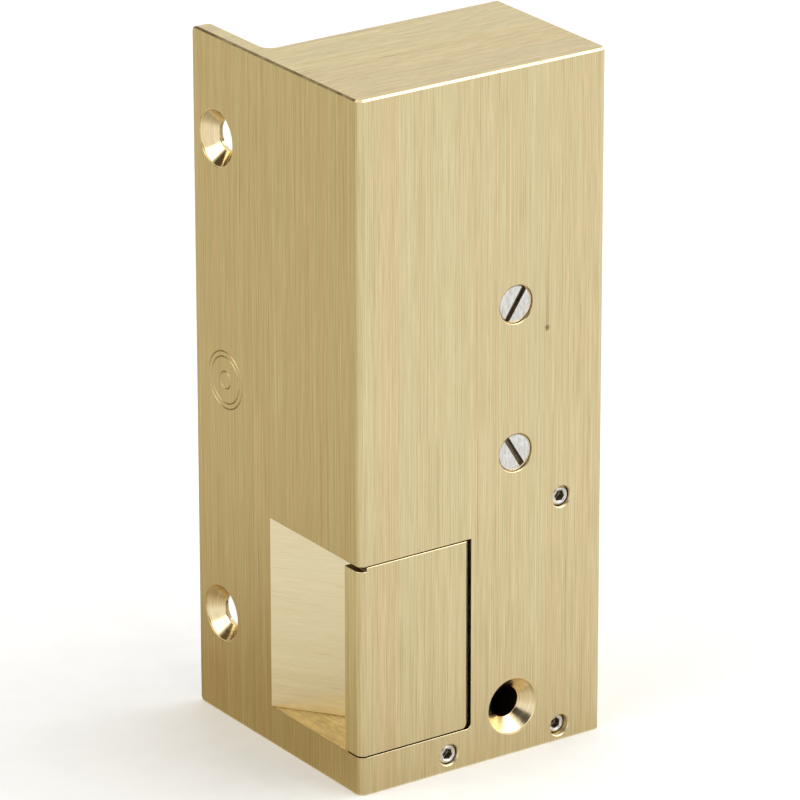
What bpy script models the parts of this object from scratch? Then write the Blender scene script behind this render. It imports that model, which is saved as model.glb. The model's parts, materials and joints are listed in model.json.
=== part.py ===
"""Surface-mounted electric door strike, milled from solid brass.

Design coordinates are millimetres from the lower front corner on the latch side: x runs along the
front face, y goes back towards the door frame and z goes up. The datum of the finished part is the
centre of the body's back face, so every point passes through at() on its way into the scene.
"""

import math

import bmesh
import bpy
from mathutils import Matrix, Vector

# ---------------------------------------------------------------- driving dimensions (millimetres)
MM = 0.001
FIT_GAP = 0.3  # between faces that touch on the real object
PIN_GAP = 0.08  # radial clearance of a pin in its hole

CASE_WIDTH = 42.6
CASE_DEPTH = 26.8
CASE_HEIGHT = 105.0
FLANGE_DEPTH = 42.0
FLANGE_THICKNESS = 2.7
EDGE_RADIUS = 1.2
FLANGE_RADIUS = 1.5
FLANGE_CORNER = 0.9
TOP_CHAMFER = 0.3
FRONT_WALL = 3.0
SIDE_WALL = 3.0
LATCH_SIDE_WALL = 6.3
BACK_PLATE_THICKNESS = 2.0
PLATE_LEDGE = 1.5

POCKET_FLOOR = 5.9
POCKET_CEILING = 35.5
SHELF_TOP = 38.0
RAMP_OPEN_Y = 23.0
RAMP_ANGLE = math.radians(35.8)  # between the ramp and the latch-side face
RAMP_WALL = 1.8

KEEPER_PIVOT = (15.4, 4.0)
KEEPER_LIP = 3.9
KEEPER_LOW = 6.1
KEEPER_HIGH = 35.3
KEEPER_END_RADIUS = 5.0
WINDOW_RADIUS = 5.56
HUB_RADIUS = 3.2
CAM_LOW_RADIUS = 3.6
CAM_START = math.radians(15.0)
CAM_SWEEP = math.radians(75.0)
CAM_TOP = 30.8
HUB_CLEARANCE = 5.5
TOP_RELIEF = 0.6
SPRING_ROOM_RADIUS = 2.9
KEEPER_COIL_RADIUS = 2.15
PIN_RADIUS = 1.5
KEEPER_PIN_TOP = 37.2

LEVER_PIVOT = (35.1, 8.0)
LEVER_HUB_RADIUS = 3.2
LEVER_LOW = 13.5
LEVER_HIGH = 34.0
LEVER_TIP_RADIUS = 1.2
LEVER_ARM = (8.6, 10.8)
FINGER_X = (23.0, 28.0)
FINGER_TOP = 47.3
HEEL_BACK = 15.2
LEVER_PIN_TOP = 40.0
LEVER_COIL_RADIUS = 2.35
SPRING_WIRE_RADIUS = 0.3
PIN_BOSS = (31.6, 40.0, 2.0, 11.2, 36.2, 41.2)

MOUNT_SCREW = (26.75, 7.5)
MOUNT_BORE_RADIUS = 2.3
MOUNT_SINK_RADIUS = 4.5
MOUNT_BOSS = (22.25, 31.25, 2.0, 24.8, 5.0, 12.0)
FLANGE_HOLES = ((36.2, 16.0), (36.2, 89.6))
FLANGE_SINK_RADIUS = 4.45

MAGNET_X = 27.0
MAGNET_SCREW_Z = (47.0, 69.6)
SCREW_HEAD_RADIUS = 2.9
SCREW_HEAD_HEIGHT = 1.7
SCREW_HEAD_FRONT = 0.25
SCREW_SLOT = (0.85, 0.9)  # width and depth
THREAD_RADIUS = 1.5
COIL_Z = 58.3
COIL_RADIUS = 8.3
CORE_RADIUS = 3.0
CORE_FACE = 15.2
YOKE_THICKNESS = 2.5
ARMATURE_FRONT = 15.5
ARMATURE_THICKNESS = 1.8
ARMATURE_PIVOT = (17.0, 73.0)
ARMATURE_HALF_WIDTH = 7.3
ARMATURE_LOW = 41.6

# Each set screw's name, x, z and how far its end lies behind the front face.
SET_SCREWS = (("keeper_pin_set_screw", 15.45, 2.65, 0.25), ("lever_pin_lower_set_screw", 35.1, 2.35, 0.85),
              ("lever_pin_upper_set_screw", 35.1, 38.4, 0.3))
SET_SCREW_RADIUS = 1.5
HEX_KEY = 1.5

TERMINAL_X = (15.0, 35.0)
TERMINAL_Z = (84.0, 96.0)
TERMINAL_BACK = 13.0
POLE_X = (20.0, 30.0)
LEAD_Y = 7.4
GROMMET = (27.0, 80.0)
GROMMET_BORE_RADIUS = 2.3
GROMMET_NECK_RADIUS = 3.8
GROMMET_LIP_RADIUS = 5.2
INLET_RADIUS = 4.0
PLATE_SCREWS = ((9.0, 99.0), (36.9, 99.0), (9.0, 4.4), (38.6, 4.4))
PLATE_SCREW_RADIUS = 1.2
PLATE_SCREW_HEAD_RADIUS = 2.3
TAPPED_HOLE_RADIUS = 1.35

DATUM = Vector((CASE_WIDTH / 2, CASE_DEPTH, CASE_HEIGHT / 2))

# Worked out from the sizes above.
RAMP_DIRECTION = Vector((math.sin(RAMP_ANGLE), -math.cos(RAMP_ANGLE)))
RAMP_NORMAL = Vector((math.cos(RAMP_ANGLE), math.sin(RAMP_ANGLE)))
YOKE_FRONT = FRONT_WALL + FIT_GAP
YOKE_BACK = YOKE_FRONT + YOKE_THICKNESS
PLATE_FRONT = CASE_DEPTH - BACK_PLATE_THICKNESS
LEVER_TIP = (KEEPER_PIVOT[0], KEEPER_PIVOT[1] + CAM_LOW_RADIUS + FIT_GAP + LEVER_TIP_RADIUS)
ROUND = 32  # sides of a visible round feature
SMALL_ROUND = 20  # sides of a hidden one


# ---------------------------------------------------------------- scene helpers
def clear_scene():
    """Remove every object, so that the script can be run again."""
    for obj in list(bpy.data.objects):
        bpy.data.objects.remove(obj, do_unlink=True)


def at(x, y, z):
    """A design point in millimetres, as metres from the part's datum."""
    return (Vector((x, y, z)) - DATUM) * MM


def make_material(name, colour, roughness, metallic):
    """A Principled material of one colour."""
    material = bpy.data.materials.new(name)
    material.use_nodes = True
    shader = material.node_tree.nodes["Principled BSDF"]
    shader.inputs["Base Color"].default_value = (*colour, 1.0)
    shader.inputs["Roughness"].default_value = roughness
    shader.inputs["Metallic"].default_value = metallic
    material.diffuse_color = (*colour, 1.0)
    return material


def make_axis(name, x, y, z):
    """An empty on a joint's axis, which the joint's pieces are parented to."""
    empty = bpy.data.objects.new(name, None)
    empty.empty_display_size = 5 * MM
    empty.location = at(x, y, z)
    bpy.context.scene.collection.objects.link(empty)
    return empty


def finish(name, bm, material=None, axis=None):
    """Turn a bmesh in datum metres into an object, with its origin on the joint's axis if it has one."""
    bmesh.ops.recalc_face_normals(bm, faces=bm.faces)
    if axis is not None:
        bmesh.ops.translate(bm, verts=bm.verts, vec=-axis.location)
    mesh = bpy.data.meshes.new(name)
    bm.to_mesh(mesh)
    bm.free()
    mesh.shade_smooth()
    mesh.set_sharp_from_angle(angle=math.radians(35))
    obj = bpy.data.objects.new(name, mesh)
    bpy.context.scene.collection.objects.link(obj)
    if material is not None:
        mesh.materials.append(material)
    if axis is not None:
        obj.parent = axis
    return obj


def boolean(target, operation, name, bm):
    """Cut the bmesh from the target or join it on, with a hidden helper object and a Boolean modifier."""
    helper = finish(name, bm)
    helper.hide_render = True
    helper.display_type = "WIRE"
    if target.parent is not None:
        helper.parent = target.parent
        helper.matrix_parent_inverse = Matrix.Translation(-target.parent.location)
    modifier = target.modifiers.new(name, "BOOLEAN")
    modifier.operation = operation
    modifier.solver = "EXACT"
    modifier.object = helper


def cut(target, name, bm):
    """Cut the bmesh from the target."""
    boolean(target, "DIFFERENCE", "cut_" + name, bm)


def join(target, name, bm):
    """Join the bmesh to the target."""
    boolean(target, "UNION", "join_" + name, bm)


# ---------------------------------------------------------------- shape helpers
def arc(centre, radius, start, end, steps):
    """Points on an arc, both ends included; angles in radians."""
    return [(centre[0] + radius * math.cos(start + (end - start) * i / steps),
             centre[1] + radius * math.sin(start + (end - start) * i / steps)) for i in range(steps + 1)]


def extruded(outline, low, high, axis="Z"):
    """A closed prism: the outline lies across the axis, and low and high are along it."""
    place = {"X": lambda u, v, h: at(h, u, v), "Y": lambda u, v, h: at(u, h, v), "Z": at}[axis]
    bm = bmesh.new()
    face = bm.faces.new([bm.verts.new(place(u, v, low)) for u, v in outline])
    top = bmesh.ops.extrude_face_region(bm, geom=[face])["geom"]
    rise = place(0, 0, high) - place(0, 0, low)
    bmesh.ops.translate(bm, verts=[v for v in top if isinstance(v, bmesh.types.BMVert)], vec=rise)
    return bm


def block(x0, x1, y0, y1, z0, z1):
    """A box between two design corners."""
    return extruded([(x0, y0), (x1, y0), (x1, y1), (x0, y1)], z0, z1)


def turned(profile, centre, axis, sides=SMALL_ROUND):
    """A turned solid: profile is a loop of (radius, distance along the axis from the centre)."""
    bm = bmesh.new()
    verts = [bm.verts.new((radius * MM, 0, along * MM)) for radius, along in profile]
    edges = [bm.edges.new((verts[i], verts[(i + 1) % len(verts)])) for i in range(len(verts))
             if profile[i][0] + profile[(i + 1) % len(verts)][0] > 0]
    bmesh.ops.spin(bm, geom=verts + edges, cent=(0, 0, 0), axis=(0, 0, 1), angle=math.tau, steps=sides)
    bmesh.ops.remove_doubles(bm, verts=bm.verts, dist=1e-6)
    aim = {"X": Vector((1, 0, 0)), "Y": Vector((0, 1, 0)), "Z": Vector((0, 0, 1))}[axis]
    turn = Vector((0, 0, 1)).rotation_difference(aim).to_matrix().to_4x4()
    bmesh.ops.transform(bm, matrix=Matrix.Translation(at(*centre)) @ turn, verts=bm.verts)
    return bm


def rod(centre, axis, radius, start, end, sides=SMALL_ROUND):
    """A plain round bar from start to end along the axis, measured from the centre."""
    return turned([(0, start), (radius, start), (radius, end), (0, end)], centre, axis, sides)


def chamfered_pin(centre, radius, start, end, chamfer=0.35):
    """An upright pin with a chamfer at each end."""
    profile = [(0, start), (radius - chamfer, start), (radius, start + chamfer),
               (radius, end - chamfer), (radius - chamfer, end), (0, end)]
    return turned(profile, centre, "Z", 24)


def wire(name, points, radius, material, resolution, axis=None):
    """A closed round wire through a list of design points."""
    curve = bpy.data.curves.new(name, "CURVE")
    curve.dimensions = "3D"
    curve.bevel_depth = radius * MM
    curve.bevel_resolution = resolution
    curve.use_fill_caps = True
    spline = curve.splines.new("POLY")
    spline.points.add(len(points) - 1)
    shift = axis.location if axis is not None else Vector()
    for point, (x, y, z) in zip(spline.points, points):
        point.co = (*(at(x, y, z) - shift), 1.0)
    curve.materials.append(material)
    obj = bpy.data.objects.new(name, curve)
    bpy.context.scene.collection.objects.link(obj)
    if axis is not None:
        obj.parent = axis
    return obj


def coil(centre, radius, low, high, turns, start, steps=14, axis="Z"):
    """Points along a helix about a line through centre, parallel to the axis."""
    points = []
    count = round(turns * steps)
    for i in range(count + 1):
        angle = start + math.tau * turns * i / count
        u, v = centre[0] + radius * math.cos(angle), centre[1] + radius * math.sin(angle)
        along = low + (high - low) * i / count
        points.append((u, v, along) if axis == "Z" else (u, along, v))
    return points


def smooth_route(points, spacing):
    """Points read at an even spacing from a smooth curve through a few route points."""
    knots = [Vector(p) for p in points]
    knots = [2 * knots[0] - knots[1], *knots, 2 * knots[-1] - knots[-2]]
    route = []
    for a, b, c, d in zip(knots, knots[1:], knots[2:], knots[3:]):
        steps = max(2, round((c - b).length / spacing))
        for i in range(steps):
            t = i / steps
            route.append(0.5 * (2 * b + (c - a) * t + (2 * a - 5 * b + 4 * c - d) * t * t
                                + (3 * b - a - 3 * c + d) * t ** 3))
    return [tuple(p) for p in [*route, knots[-2]]]


# ---------------------------------------------------------------- case
def case_outline():
    """The case seen from above: the body, and the flange that carries on behind its latch side."""
    fillet = (FLANGE_THICKNESS + FLANGE_RADIUS, CASE_DEPTH + FLANGE_RADIUS)
    end = (FLANGE_THICKNESS - FLANGE_RADIUS, FLANGE_DEPTH - FLANGE_RADIUS)
    right = math.pi / 2
    return [*arc((EDGE_RADIUS, EDGE_RADIUS), EDGE_RADIUS, math.pi, 3 * right, 6),
            *arc((CASE_WIDTH - EDGE_RADIUS, EDGE_RADIUS), EDGE_RADIUS, 3 * right, 4 * right, 6),
            (CASE_WIDTH, CASE_DEPTH),
            *arc(fillet, FLANGE_RADIUS, -right, -math.pi, 6),
            *arc(end, FLANGE_RADIUS, 0, right, 6),
            (0, FLANGE_DEPTH)]


def ramp_point(distance, offset=0.0):
    """A point on the ramp, a distance down it from the latch-side face; offset goes into the body."""
    point = Vector((0, RAMP_OPEN_Y)) + distance * RAMP_DIRECTION + offset * RAMP_NORMAL
    return point.x, point.y


def ramp_reach(radius, offset):
    """How far down the ramp a line at this offset meets a circle of this radius about the keeper's pivot."""
    to_pivot = Vector(KEEPER_PIVOT) - Vector((0, RAMP_OPEN_Y))
    along = to_pivot.dot(RAMP_DIRECTION)
    aside = to_pivot.dot(RAMP_NORMAL) - offset
    return along - math.sqrt(radius ** 2 - aside ** 2)


def angle_about_keeper(point):
    """The direction of a point seen from the keeper's pivot."""
    return math.atan2(point[1] - KEEPER_PIVOT[1], point[0] - KEEPER_PIVOT[0])


def pocket_outline():
    """The latch pocket and the keeper's window seen from above."""
    at_front = math.acos(math.sqrt(WINDOW_RADIUS ** 2 - KEEPER_PIVOT[1] ** 2) / WINDOW_RADIUS)
    ramp_end = ramp_point(ramp_reach(HUB_CLEARANCE, 0.0))
    window = arc(KEEPER_PIVOT, WINDOW_RADIUS, -at_front, math.radians(5), 8)
    around = arc(KEEPER_PIVOT, HUB_CLEARANCE, math.radians(10), angle_about_keeper(ramp_end), 10)
    beyond = ramp_point(-2.0)
    return [(-1.2, -1.0), (window[0][0], -1.0), *window, *around, beyond, (-1.2, beyond[1])]


def chamber_outline():
    """The room for the lever behind the ramp seen from above, open to the back and to the keeper's hub."""
    into_hub_room = 0.8
    inner = ramp_point(ramp_reach(HUB_CLEARANCE, RAMP_WALL) + into_hub_room, RAMP_WALL)
    wall_x = LATCH_SIDE_WALL
    outer_y = RAMP_OPEN_Y + RAMP_WALL / math.sin(RAMP_ANGLE) - wall_x / math.tan(RAMP_ANGLE)
    right = CASE_WIDTH - SIDE_WALL
    return [(wall_x, CASE_DEPTH + 1), (wall_x, outer_y), inner, (KEEPER_PIVOT[0] + HUB_RADIUS, FRONT_WALL),
            (right, FRONT_WALL), (right, CASE_DEPTH + 1)]


def magnet_room_outline():
    """The upper room seen from the front, with corners left solid for the back plate's screws."""
    low, high, left, right = SHELF_TOP, CASE_HEIGHT - 3.0, LATCH_SIDE_WALL, CASE_WIDTH - SIDE_WALL
    corner = 6.2
    return [(left, low), (right, low), (right, high - corner), (right - corner, high),
            (left + corner, high), (left, high - corner)]


def sink(x, z, bore, head, deep):
    """A countersunk hole through the front wall."""
    depth = head - bore
    profile = [(0, -1), (head + 1, -1), (head, 0), (bore, depth), (bore, deep), (0, deep)]
    return turned(profile, (x, 0, z), "Y", ROUND)


def flange_sink(y, z):
    """A countersunk hole through the flange."""
    depth = FLANGE_SINK_RADIUS - MOUNT_BORE_RADIUS
    profile = [(0, -1), (FLANGE_SINK_RADIUS + 1, -1), (FLANGE_SINK_RADIUS, 0), (MOUNT_BORE_RADIUS, depth),
               (MOUNT_BORE_RADIUS, FLANGE_THICKNESS + 1), (0, FLANGE_THICKNESS + 1)]
    return turned(profile, (0, y, z), "X", ROUND)


def corner_round(z, upwards):
    """What rounds one corner of the flange's free end; upwards is the side of the corner that is air."""
    radius = FLANGE_CORNER
    centre = (FLANGE_DEPTH - radius, z - upwards * radius)
    edge = arc(centre, radius, 0, upwards * math.pi / 2, 5)
    beyond, above = FLANGE_DEPTH + 1, z + upwards
    outline = [*edge, (edge[-1][0], above), (beyond, above), (beyond, edge[0][1])]
    return extruded(outline, -1, FLANGE_THICKNESS + 1, "X")


def build_case(brass):
    """The case, milled from the back and from the latch side."""
    bm = extruded(case_outline(), 0, CASE_HEIGHT)
    top = at(0, 0, CASE_HEIGHT).z
    rim = [e for e in bm.edges if all(abs(v.co.z - top) < 1e-6 for v in e.verts)]
    bmesh.ops.bevel(bm, geom=rim, offset=TOP_CHAMFER * MM, segments=1, affect="EDGES")
    case = finish("case", bm, brass)
    cut(case, "magnet_room", extruded(magnet_room_outline(), FRONT_WALL, CASE_DEPTH + 1, "Y"))
    cut(case, "lever_room", extruded(chamber_outline(), POCKET_FLOOR, SHELF_TOP + 1))
    cut(case, "latch_pocket", extruded(pocket_outline(), POCKET_FLOOR, POCKET_CEILING))
    join(case, "mount_boss", block(*MOUNT_BOSS))
    join(case, "pin_boss", block(*PIN_BOSS))
    inset = LATCH_SIDE_WALL - PLATE_LEDGE
    cut(case, "plate_seat", block(inset, CASE_WIDTH - PLATE_LEDGE, PLATE_FRONT - FIT_GAP / 2, CASE_DEPTH + 1,
                                  PLATE_LEDGE, CASE_HEIGHT - PLATE_LEDGE))
    cut(case, "mount_hole", sink(*MOUNT_SCREW, MOUNT_BORE_RADIUS, MOUNT_SINK_RADIUS, CASE_DEPTH))
    for i, (y, z) in enumerate(FLANGE_HOLES, 1):
        cut(case, f"flange_hole_{i}", flange_sink(y, z))
    for i, z in enumerate(MAGNET_SCREW_Z, 1):
        head, shank = SCREW_HEAD_RADIUS + 0.12, THREAD_RADIUS + 0.15
        deep = SCREW_HEAD_HEIGHT + 0.3
        profile = [(0, -1), (head, -1), (head, deep), (shank, deep), (shank, 4), (0, 4)]
        cut(case, f"magnet_screw_hole_{i}", turned(profile, (MAGNET_X, 0, z), "Y", ROUND))
    for name, x, z, _ in SET_SCREWS:
        deep = set_screw_pivot(x)[1]
        bore = SET_SCREW_RADIUS + 0.1
        profile = [(0, -1), (2.6, -1), (bore, 0.2), (bore, deep), (0, deep)]
        cut(case, name, turned(profile, (x, 0, z), "Y", 28))
    hole = PIN_RADIUS + PIN_GAP
    cut(case, "keeper_pin_hole", rod((*KEEPER_PIVOT, 0), "Z", hole, -1, KEEPER_PIN_TOP + 0.2, 24))
    cut(case, "lever_pin_hole", rod((*LEVER_PIVOT, 0), "Z", hole, -1, LEVER_PIN_TOP + 0.2, 24))
    tang = (KEEPER_PIVOT[0] - KEEPER_COIL_RADIUS, KEEPER_PIVOT[1], POCKET_CEILING)
    cut(case, "spring_hole", rod(tang, "Z", 0.55, -1, 1.6, 12))
    for i, (x, z) in enumerate(PLATE_SCREWS, 1):
        cut(case, f"plate_screw_hole_{i}", rod((x, PLATE_FRONT, z), "Y", TAPPED_HOLE_RADIUS, -6.0, 1, 16))
    middle = (sum(TERMINAL_X) / 2, FRONT_WALL, sum(TERMINAL_Z) / 2)
    cut(case, "terminal_screw_hole", rod(middle, "Y", TAPPED_HOLE_RADIUS, -2.0, 1, 16))
    cut(case, "flange_corner_low", corner_round(0, -1))
    cut(case, "flange_corner_high", corner_round(CASE_HEIGHT, 1))
    return case


# ---------------------------------------------------------------- keeper
def keeper_outline():
    """The keeper seen from above: the lip, its round end, the spiral cam and the hub."""
    end = -math.asin(KEEPER_PIVOT[1] / KEEPER_END_RADIUS)
    cam = []
    for i in range(13):
        share = i / 12
        radius = KEEPER_END_RADIUS + (CAM_LOW_RADIUS - KEEPER_END_RADIUS) * share
        turn = CAM_START + CAM_SWEEP * share
        cam.append((KEEPER_PIVOT[0] + radius * math.cos(turn), KEEPER_PIVOT[1] + radius * math.sin(turn)))
    lip_angle = math.pi + math.asin((KEEPER_PIVOT[1] - KEEPER_LIP) / HUB_RADIUS)
    corner = (EDGE_RADIUS, EDGE_RADIUS)
    return [*arc(corner, EDGE_RADIUS, math.pi, 1.5 * math.pi, 6),
            *arc(KEEPER_PIVOT, KEEPER_END_RADIUS, end, CAM_START, 10)[:-1], *cam,
            *arc(KEEPER_PIVOT, HUB_RADIUS, CAM_START + CAM_SWEEP + 0.25, lip_angle, 8), (0, KEEPER_LIP)]


def build_keeper(brass, axis):
    """The hinged keeper that holds the latch."""
    keeper = finish("keeper", extruded(keeper_outline(), KEEPER_LOW, KEEPER_HIGH), brass, axis)
    pivot = (*KEEPER_PIVOT, 0)
    cut(keeper, "keeper_bore", rod(pivot, "Z", PIN_RADIUS + PIN_GAP, 0, 50, 24))
    cut(keeper, "keeper_spring_room", rod(pivot, "Z", SPRING_ROOM_RADIUS, CAM_TOP, 50, 24))
    cut(keeper, "keeper_relief", block(-1, EDGE_RADIUS, -1, KEEPER_LIP + 1, KEEPER_HIGH - TOP_RELIEF, 40))
    slot_front = KEEPER_PIVOT[1] + KEEPER_COIL_RADIUS - 1.5 * SPRING_WIRE_RADIUS
    x = KEEPER_PIVOT[0]
    cut(keeper, "keeper_leg_slot", block(x, x + 6, slot_front, slot_front + 4.9, CAM_TOP, 33))
    return keeper


def build_keeper_spring(steel, axis):
    """The torsion spring round the keeper's pin: one leg on the keeper's cam, the other end in the case."""
    x, y = KEEPER_PIVOT
    leg_z = CAM_TOP + 0.8
    radius = KEEPER_COIL_RADIUS
    turns = coil((x, y), radius, leg_z, KEEPER_HIGH - 0.7, 3.25, math.pi / 2, 14)
    tang = [(x - radius, y, KEEPER_HIGH - 0.1), (x - radius, y, POCKET_CEILING + 1.2)]
    route = [(x + 3.6, y + radius, leg_z), *turns, *tang]
    return wire("keeper_spring", route, SPRING_WIRE_RADIUS, steel, 1, axis)


# ---------------------------------------------------------------- locking lever
def lever_outline():
    """The lever seen from above: its hub, and the arm whose rounded tip follows the cam."""
    low, high = LEVER_ARM
    px, py = LEVER_PIVOT
    meet_high = math.asin((high - py) / LEVER_HUB_RADIUS)
    meet_low = math.asin((low - py) / LEVER_HUB_RADIUS)
    hub = arc(LEVER_PIVOT, LEVER_HUB_RADIUS, math.pi - meet_low, math.tau + math.pi - meet_high, 20)
    tip = arc(LEVER_TIP, LEVER_TIP_RADIUS, math.radians(-35), math.radians(-180), 7)
    return [*hub, (LEVER_TIP[0] - LEVER_TIP_RADIUS, high), *reversed(tip), (LEVER_TIP[0] + 1.6, low)]


def build_lever(steel, axis):
    """The lever that the keeper's cam pushes back, with the heel that the armature blocks."""
    lever = finish("locking_lever", extruded(lever_outline(), LEVER_LOW, LEVER_HIGH), steel, axis)
    low, high = LEVER_ARM
    join(lever, "lever_finger", block(*FINGER_X, low + 0.01, high - 0.01, LEVER_HIGH - 4, FINGER_TOP - 0.01))
    join(lever, "lever_heel", block(FINGER_X[0] + 0.01, FINGER_X[1] - 0.01, low + 0.5, HEEL_BACK,
                                    SHELF_TOP + 4.2, FINGER_TOP))
    cut(lever, "lever_bore", rod((*LEVER_PIVOT, 0), "Z", PIN_RADIUS + PIN_GAP, 0, 60, 24))
    tang = (LEVER_PIVOT[0] - LEVER_COIL_RADIUS, LEVER_PIVOT[1], LEVER_LOW)
    cut(lever, "lever_tang_hole", rod(tang, "Z", 0.6, -1, 2.2, 12))
    return lever


def build_lever_spring(steel):
    """The torsion spring under the lever: a leg on the front wall, and a tang in the lever's hub."""
    x, y = LEVER_PIVOT
    radius, foot = LEVER_COIL_RADIUS, POCKET_FLOOR + 0.7
    turns = coil((x, y), radius, foot, LEVER_LOW - 1.0, 6.5, 0, 14)
    leg = (x + radius, FRONT_WALL + 2 * SPRING_WIRE_RADIUS, foot)
    tang = [(x - radius, y, LEVER_LOW - 0.4), (x - radius, y, LEVER_LOW + 1.6)]
    return wire("lever_spring", [leg, *turns, *tang], SPRING_WIRE_RADIUS, steel, 1)


# ---------------------------------------------------------------- fasteners
def set_screw_pivot(x):
    """The pin that a set screw at this x presses on."""
    return KEEPER_PIVOT if abs(x - KEEPER_PIVOT[0]) < 5 else LEVER_PIVOT


def build_set_screw(name, x, z, recess, steel):
    """A headless screw with a hexagon socket, which holds a pin from the front."""
    tip = set_screw_pivot(x)[1] - PIN_RADIUS - 0.1
    radius = SET_SCREW_RADIUS
    profile = [(0, recess), (radius - 0.35, recess), (radius, recess + 0.35), (radius, tip - 0.4),
               (radius - 0.5, tip), (0, tip)]
    screw = finish(name, turned(profile, (x, 0, z), "Y", 24), steel)
    deep = recess + 1.4
    corners = arc((x, z), HEX_KEY / math.sqrt(3), math.pi / 6, math.pi / 6 + math.tau * 5 / 6, 5)
    cut(screw, name + "_socket", extruded(corners, recess - 1, deep, "Y"))
    return screw


def slotted_head(screw, centre, turn, radius, front, deep, width):
    """Cut a screwdriver slot across a head; deep is less than front where the head faces the back."""
    reach, half = radius + 1, width / 2
    along, aside = Vector((math.cos(turn), math.sin(turn))), Vector((-math.sin(turn), math.cos(turn)))
    outline = [tuple(Vector(centre) + a * reach * along + b * half * aside)
               for a, b in ((-1, -1), (1, -1), (1, 1), (-1, 1))]
    cut(screw, screw.name + "_slot", extruded(outline, min(front, deep), max(front, deep), "Y"))


def build_magnet_screw(name, z, turn, steel):
    """A slotted cheese-head screw that holds the magnet's yoke to the front wall."""
    head, shank, front = SCREW_HEAD_RADIUS, THREAD_RADIUS, SCREW_HEAD_FRONT
    under = front + SCREW_HEAD_HEIGHT
    end = YOKE_BACK + 1.3
    profile = [(0, front), (head - 0.25, front), (head, front + 0.25), (head, under), (shank, under),
               (shank, end - 0.4), (shank - 0.4, end), (0, end)]
    screw = finish(name, turned(profile, (MAGNET_X, 0, z), "Y", ROUND), steel)
    slotted_head(screw, (MAGNET_X, z), turn, head, -1, front + SCREW_SLOT[1], SCREW_SLOT[0])
    return screw


def build_plate_screw(name, x, z, steel):
    """A countersunk screw with a hexagon socket in the back plate."""
    back, front = CASE_DEPTH - 0.1, PLATE_FRONT - 5.0
    neck = back - 1.35
    shank, head = PLATE_SCREW_RADIUS, PLATE_SCREW_HEAD_RADIUS
    profile = [(0, front), (shank - 0.3, front), (shank, front + 0.3), (shank, neck),
               (head, back - 0.2), (head, back), (0, back)]
    screw = finish(name, turned(profile, (x, 0, z), "Y", 24), steel)
    corners = arc((x, z), HEX_KEY / math.sqrt(3), 0, math.tau * 5 / 6, 5)
    cut(screw, name + "_socket", extruded(corners, back - 1.1, back + 1, "Y"))
    return screw


# ---------------------------------------------------------------- electromagnet
def build_yoke(iron):
    """The bent yoke: a web on the front wall, and an arm over the coil with ears for the armature's pin."""
    top = ARMATURE_PIVOT[1] + 3.0
    inner, ear = ARMATURE_HALF_WIDTH + 0.3, 2.0
    arm_end, ear_end = ARMATURE_PIVOT[0] - 2.4, ARMATURE_PIVOT[0] + 2.0
    half = ARMATURE_HALF_WIDTH
    web = block(MAGNET_X - half, MAGNET_X + half, YOKE_FRONT, YOKE_BACK, ARMATURE_LOW + 1, top)
    yoke = finish("magnet_yoke", web, iron)
    join(yoke, "yoke_arm", block(MAGNET_X - half - 0.01, MAGNET_X + half + 0.01, YOKE_FRONT + 0.01, arm_end,
                                 top - YOKE_THICKNESS, top + 0.01))
    for side in (-1, 1):
        inside, outside = sorted((MAGNET_X + side * inner, MAGNET_X + side * (inner + ear)))
        bridge = sorted((MAGNET_X + side * 5, MAGNET_X + side * (inner + ear - 0.01)))
        join(yoke, f"yoke_bridge_{side}", block(*bridge, arm_end - 4, arm_end - 0.02,
                                                top - YOKE_THICKNESS + 0.02, top - 0.02))
        join(yoke, f"yoke_ear_{side}", block(inside, outside, arm_end - 4.2, ear_end, ARMATURE_PIVOT[1] - 2.2,
                                             top - 0.04))
    for i, z in enumerate(MAGNET_SCREW_Z, 1):
        cut(yoke, f"yoke_screw_hole_{i}", rod((MAGNET_X, 0, z), "Y", THREAD_RADIUS + 0.1, 0, 12, 24))
    cut(yoke, "yoke_core_hole", rod((MAGNET_X, 0, COIL_Z), "Y", 2.1, 0, 12, 24))
    pin = (MAGNET_X, *ARMATURE_PIVOT)
    cut(yoke, "yoke_pin_hole", rod(pin, "X", 1.0 + PIN_GAP, -20, 20, 24))
    return yoke


def build_core(iron):
    """The core, with a stub riveted into the yoke."""
    stub, shoulder = YOKE_FRONT + 0.2, YOKE_BACK + 0.2
    profile = [(0, stub), (2.0, stub), (2.0, shoulder), (CORE_RADIUS, shoulder),
               (CORE_RADIUS, CORE_FACE - 0.3), (CORE_RADIUS - 0.3, CORE_FACE), (0, CORE_FACE)]
    return finish("magnet_core", turned(profile, (MAGNET_X, 0, COIL_Z), "Y", 24), iron)


def build_bobbin(plastic):
    """The coil's former: two flanges on a tube."""
    inner, tube, flange = CORE_RADIUS + 0.2, CORE_RADIUS + 0.9, COIL_RADIUS + 0.4
    front, back = YOKE_BACK + 0.3, CORE_FACE - 0.6
    profile = [(inner, front), (flange, front), (flange, front + 0.9), (tube, front + 0.9),
               (tube, back - 0.9), (flange, back - 0.9), (flange, back), (inner, back)]
    return finish("coil_bobbin", turned(profile, (MAGNET_X, 0, COIL_Z), "Y", ROUND), plastic)


def build_winding(copper):
    """The winding, as one ring between the bobbin's flanges."""
    tube, front, back = CORE_RADIUS + 1.0, YOKE_BACK + 1.3, CORE_FACE - 1.6
    profile = [(tube, front), (COIL_RADIUS - 0.3, front), (COIL_RADIUS, front + 0.4),
               (COIL_RADIUS, back - 0.4), (COIL_RADIUS - 0.3, back), (tube, back)]
    return finish("coil_winding", turned(profile, (MAGNET_X, 0, COIL_Z), "Y", ROUND), copper)


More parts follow.
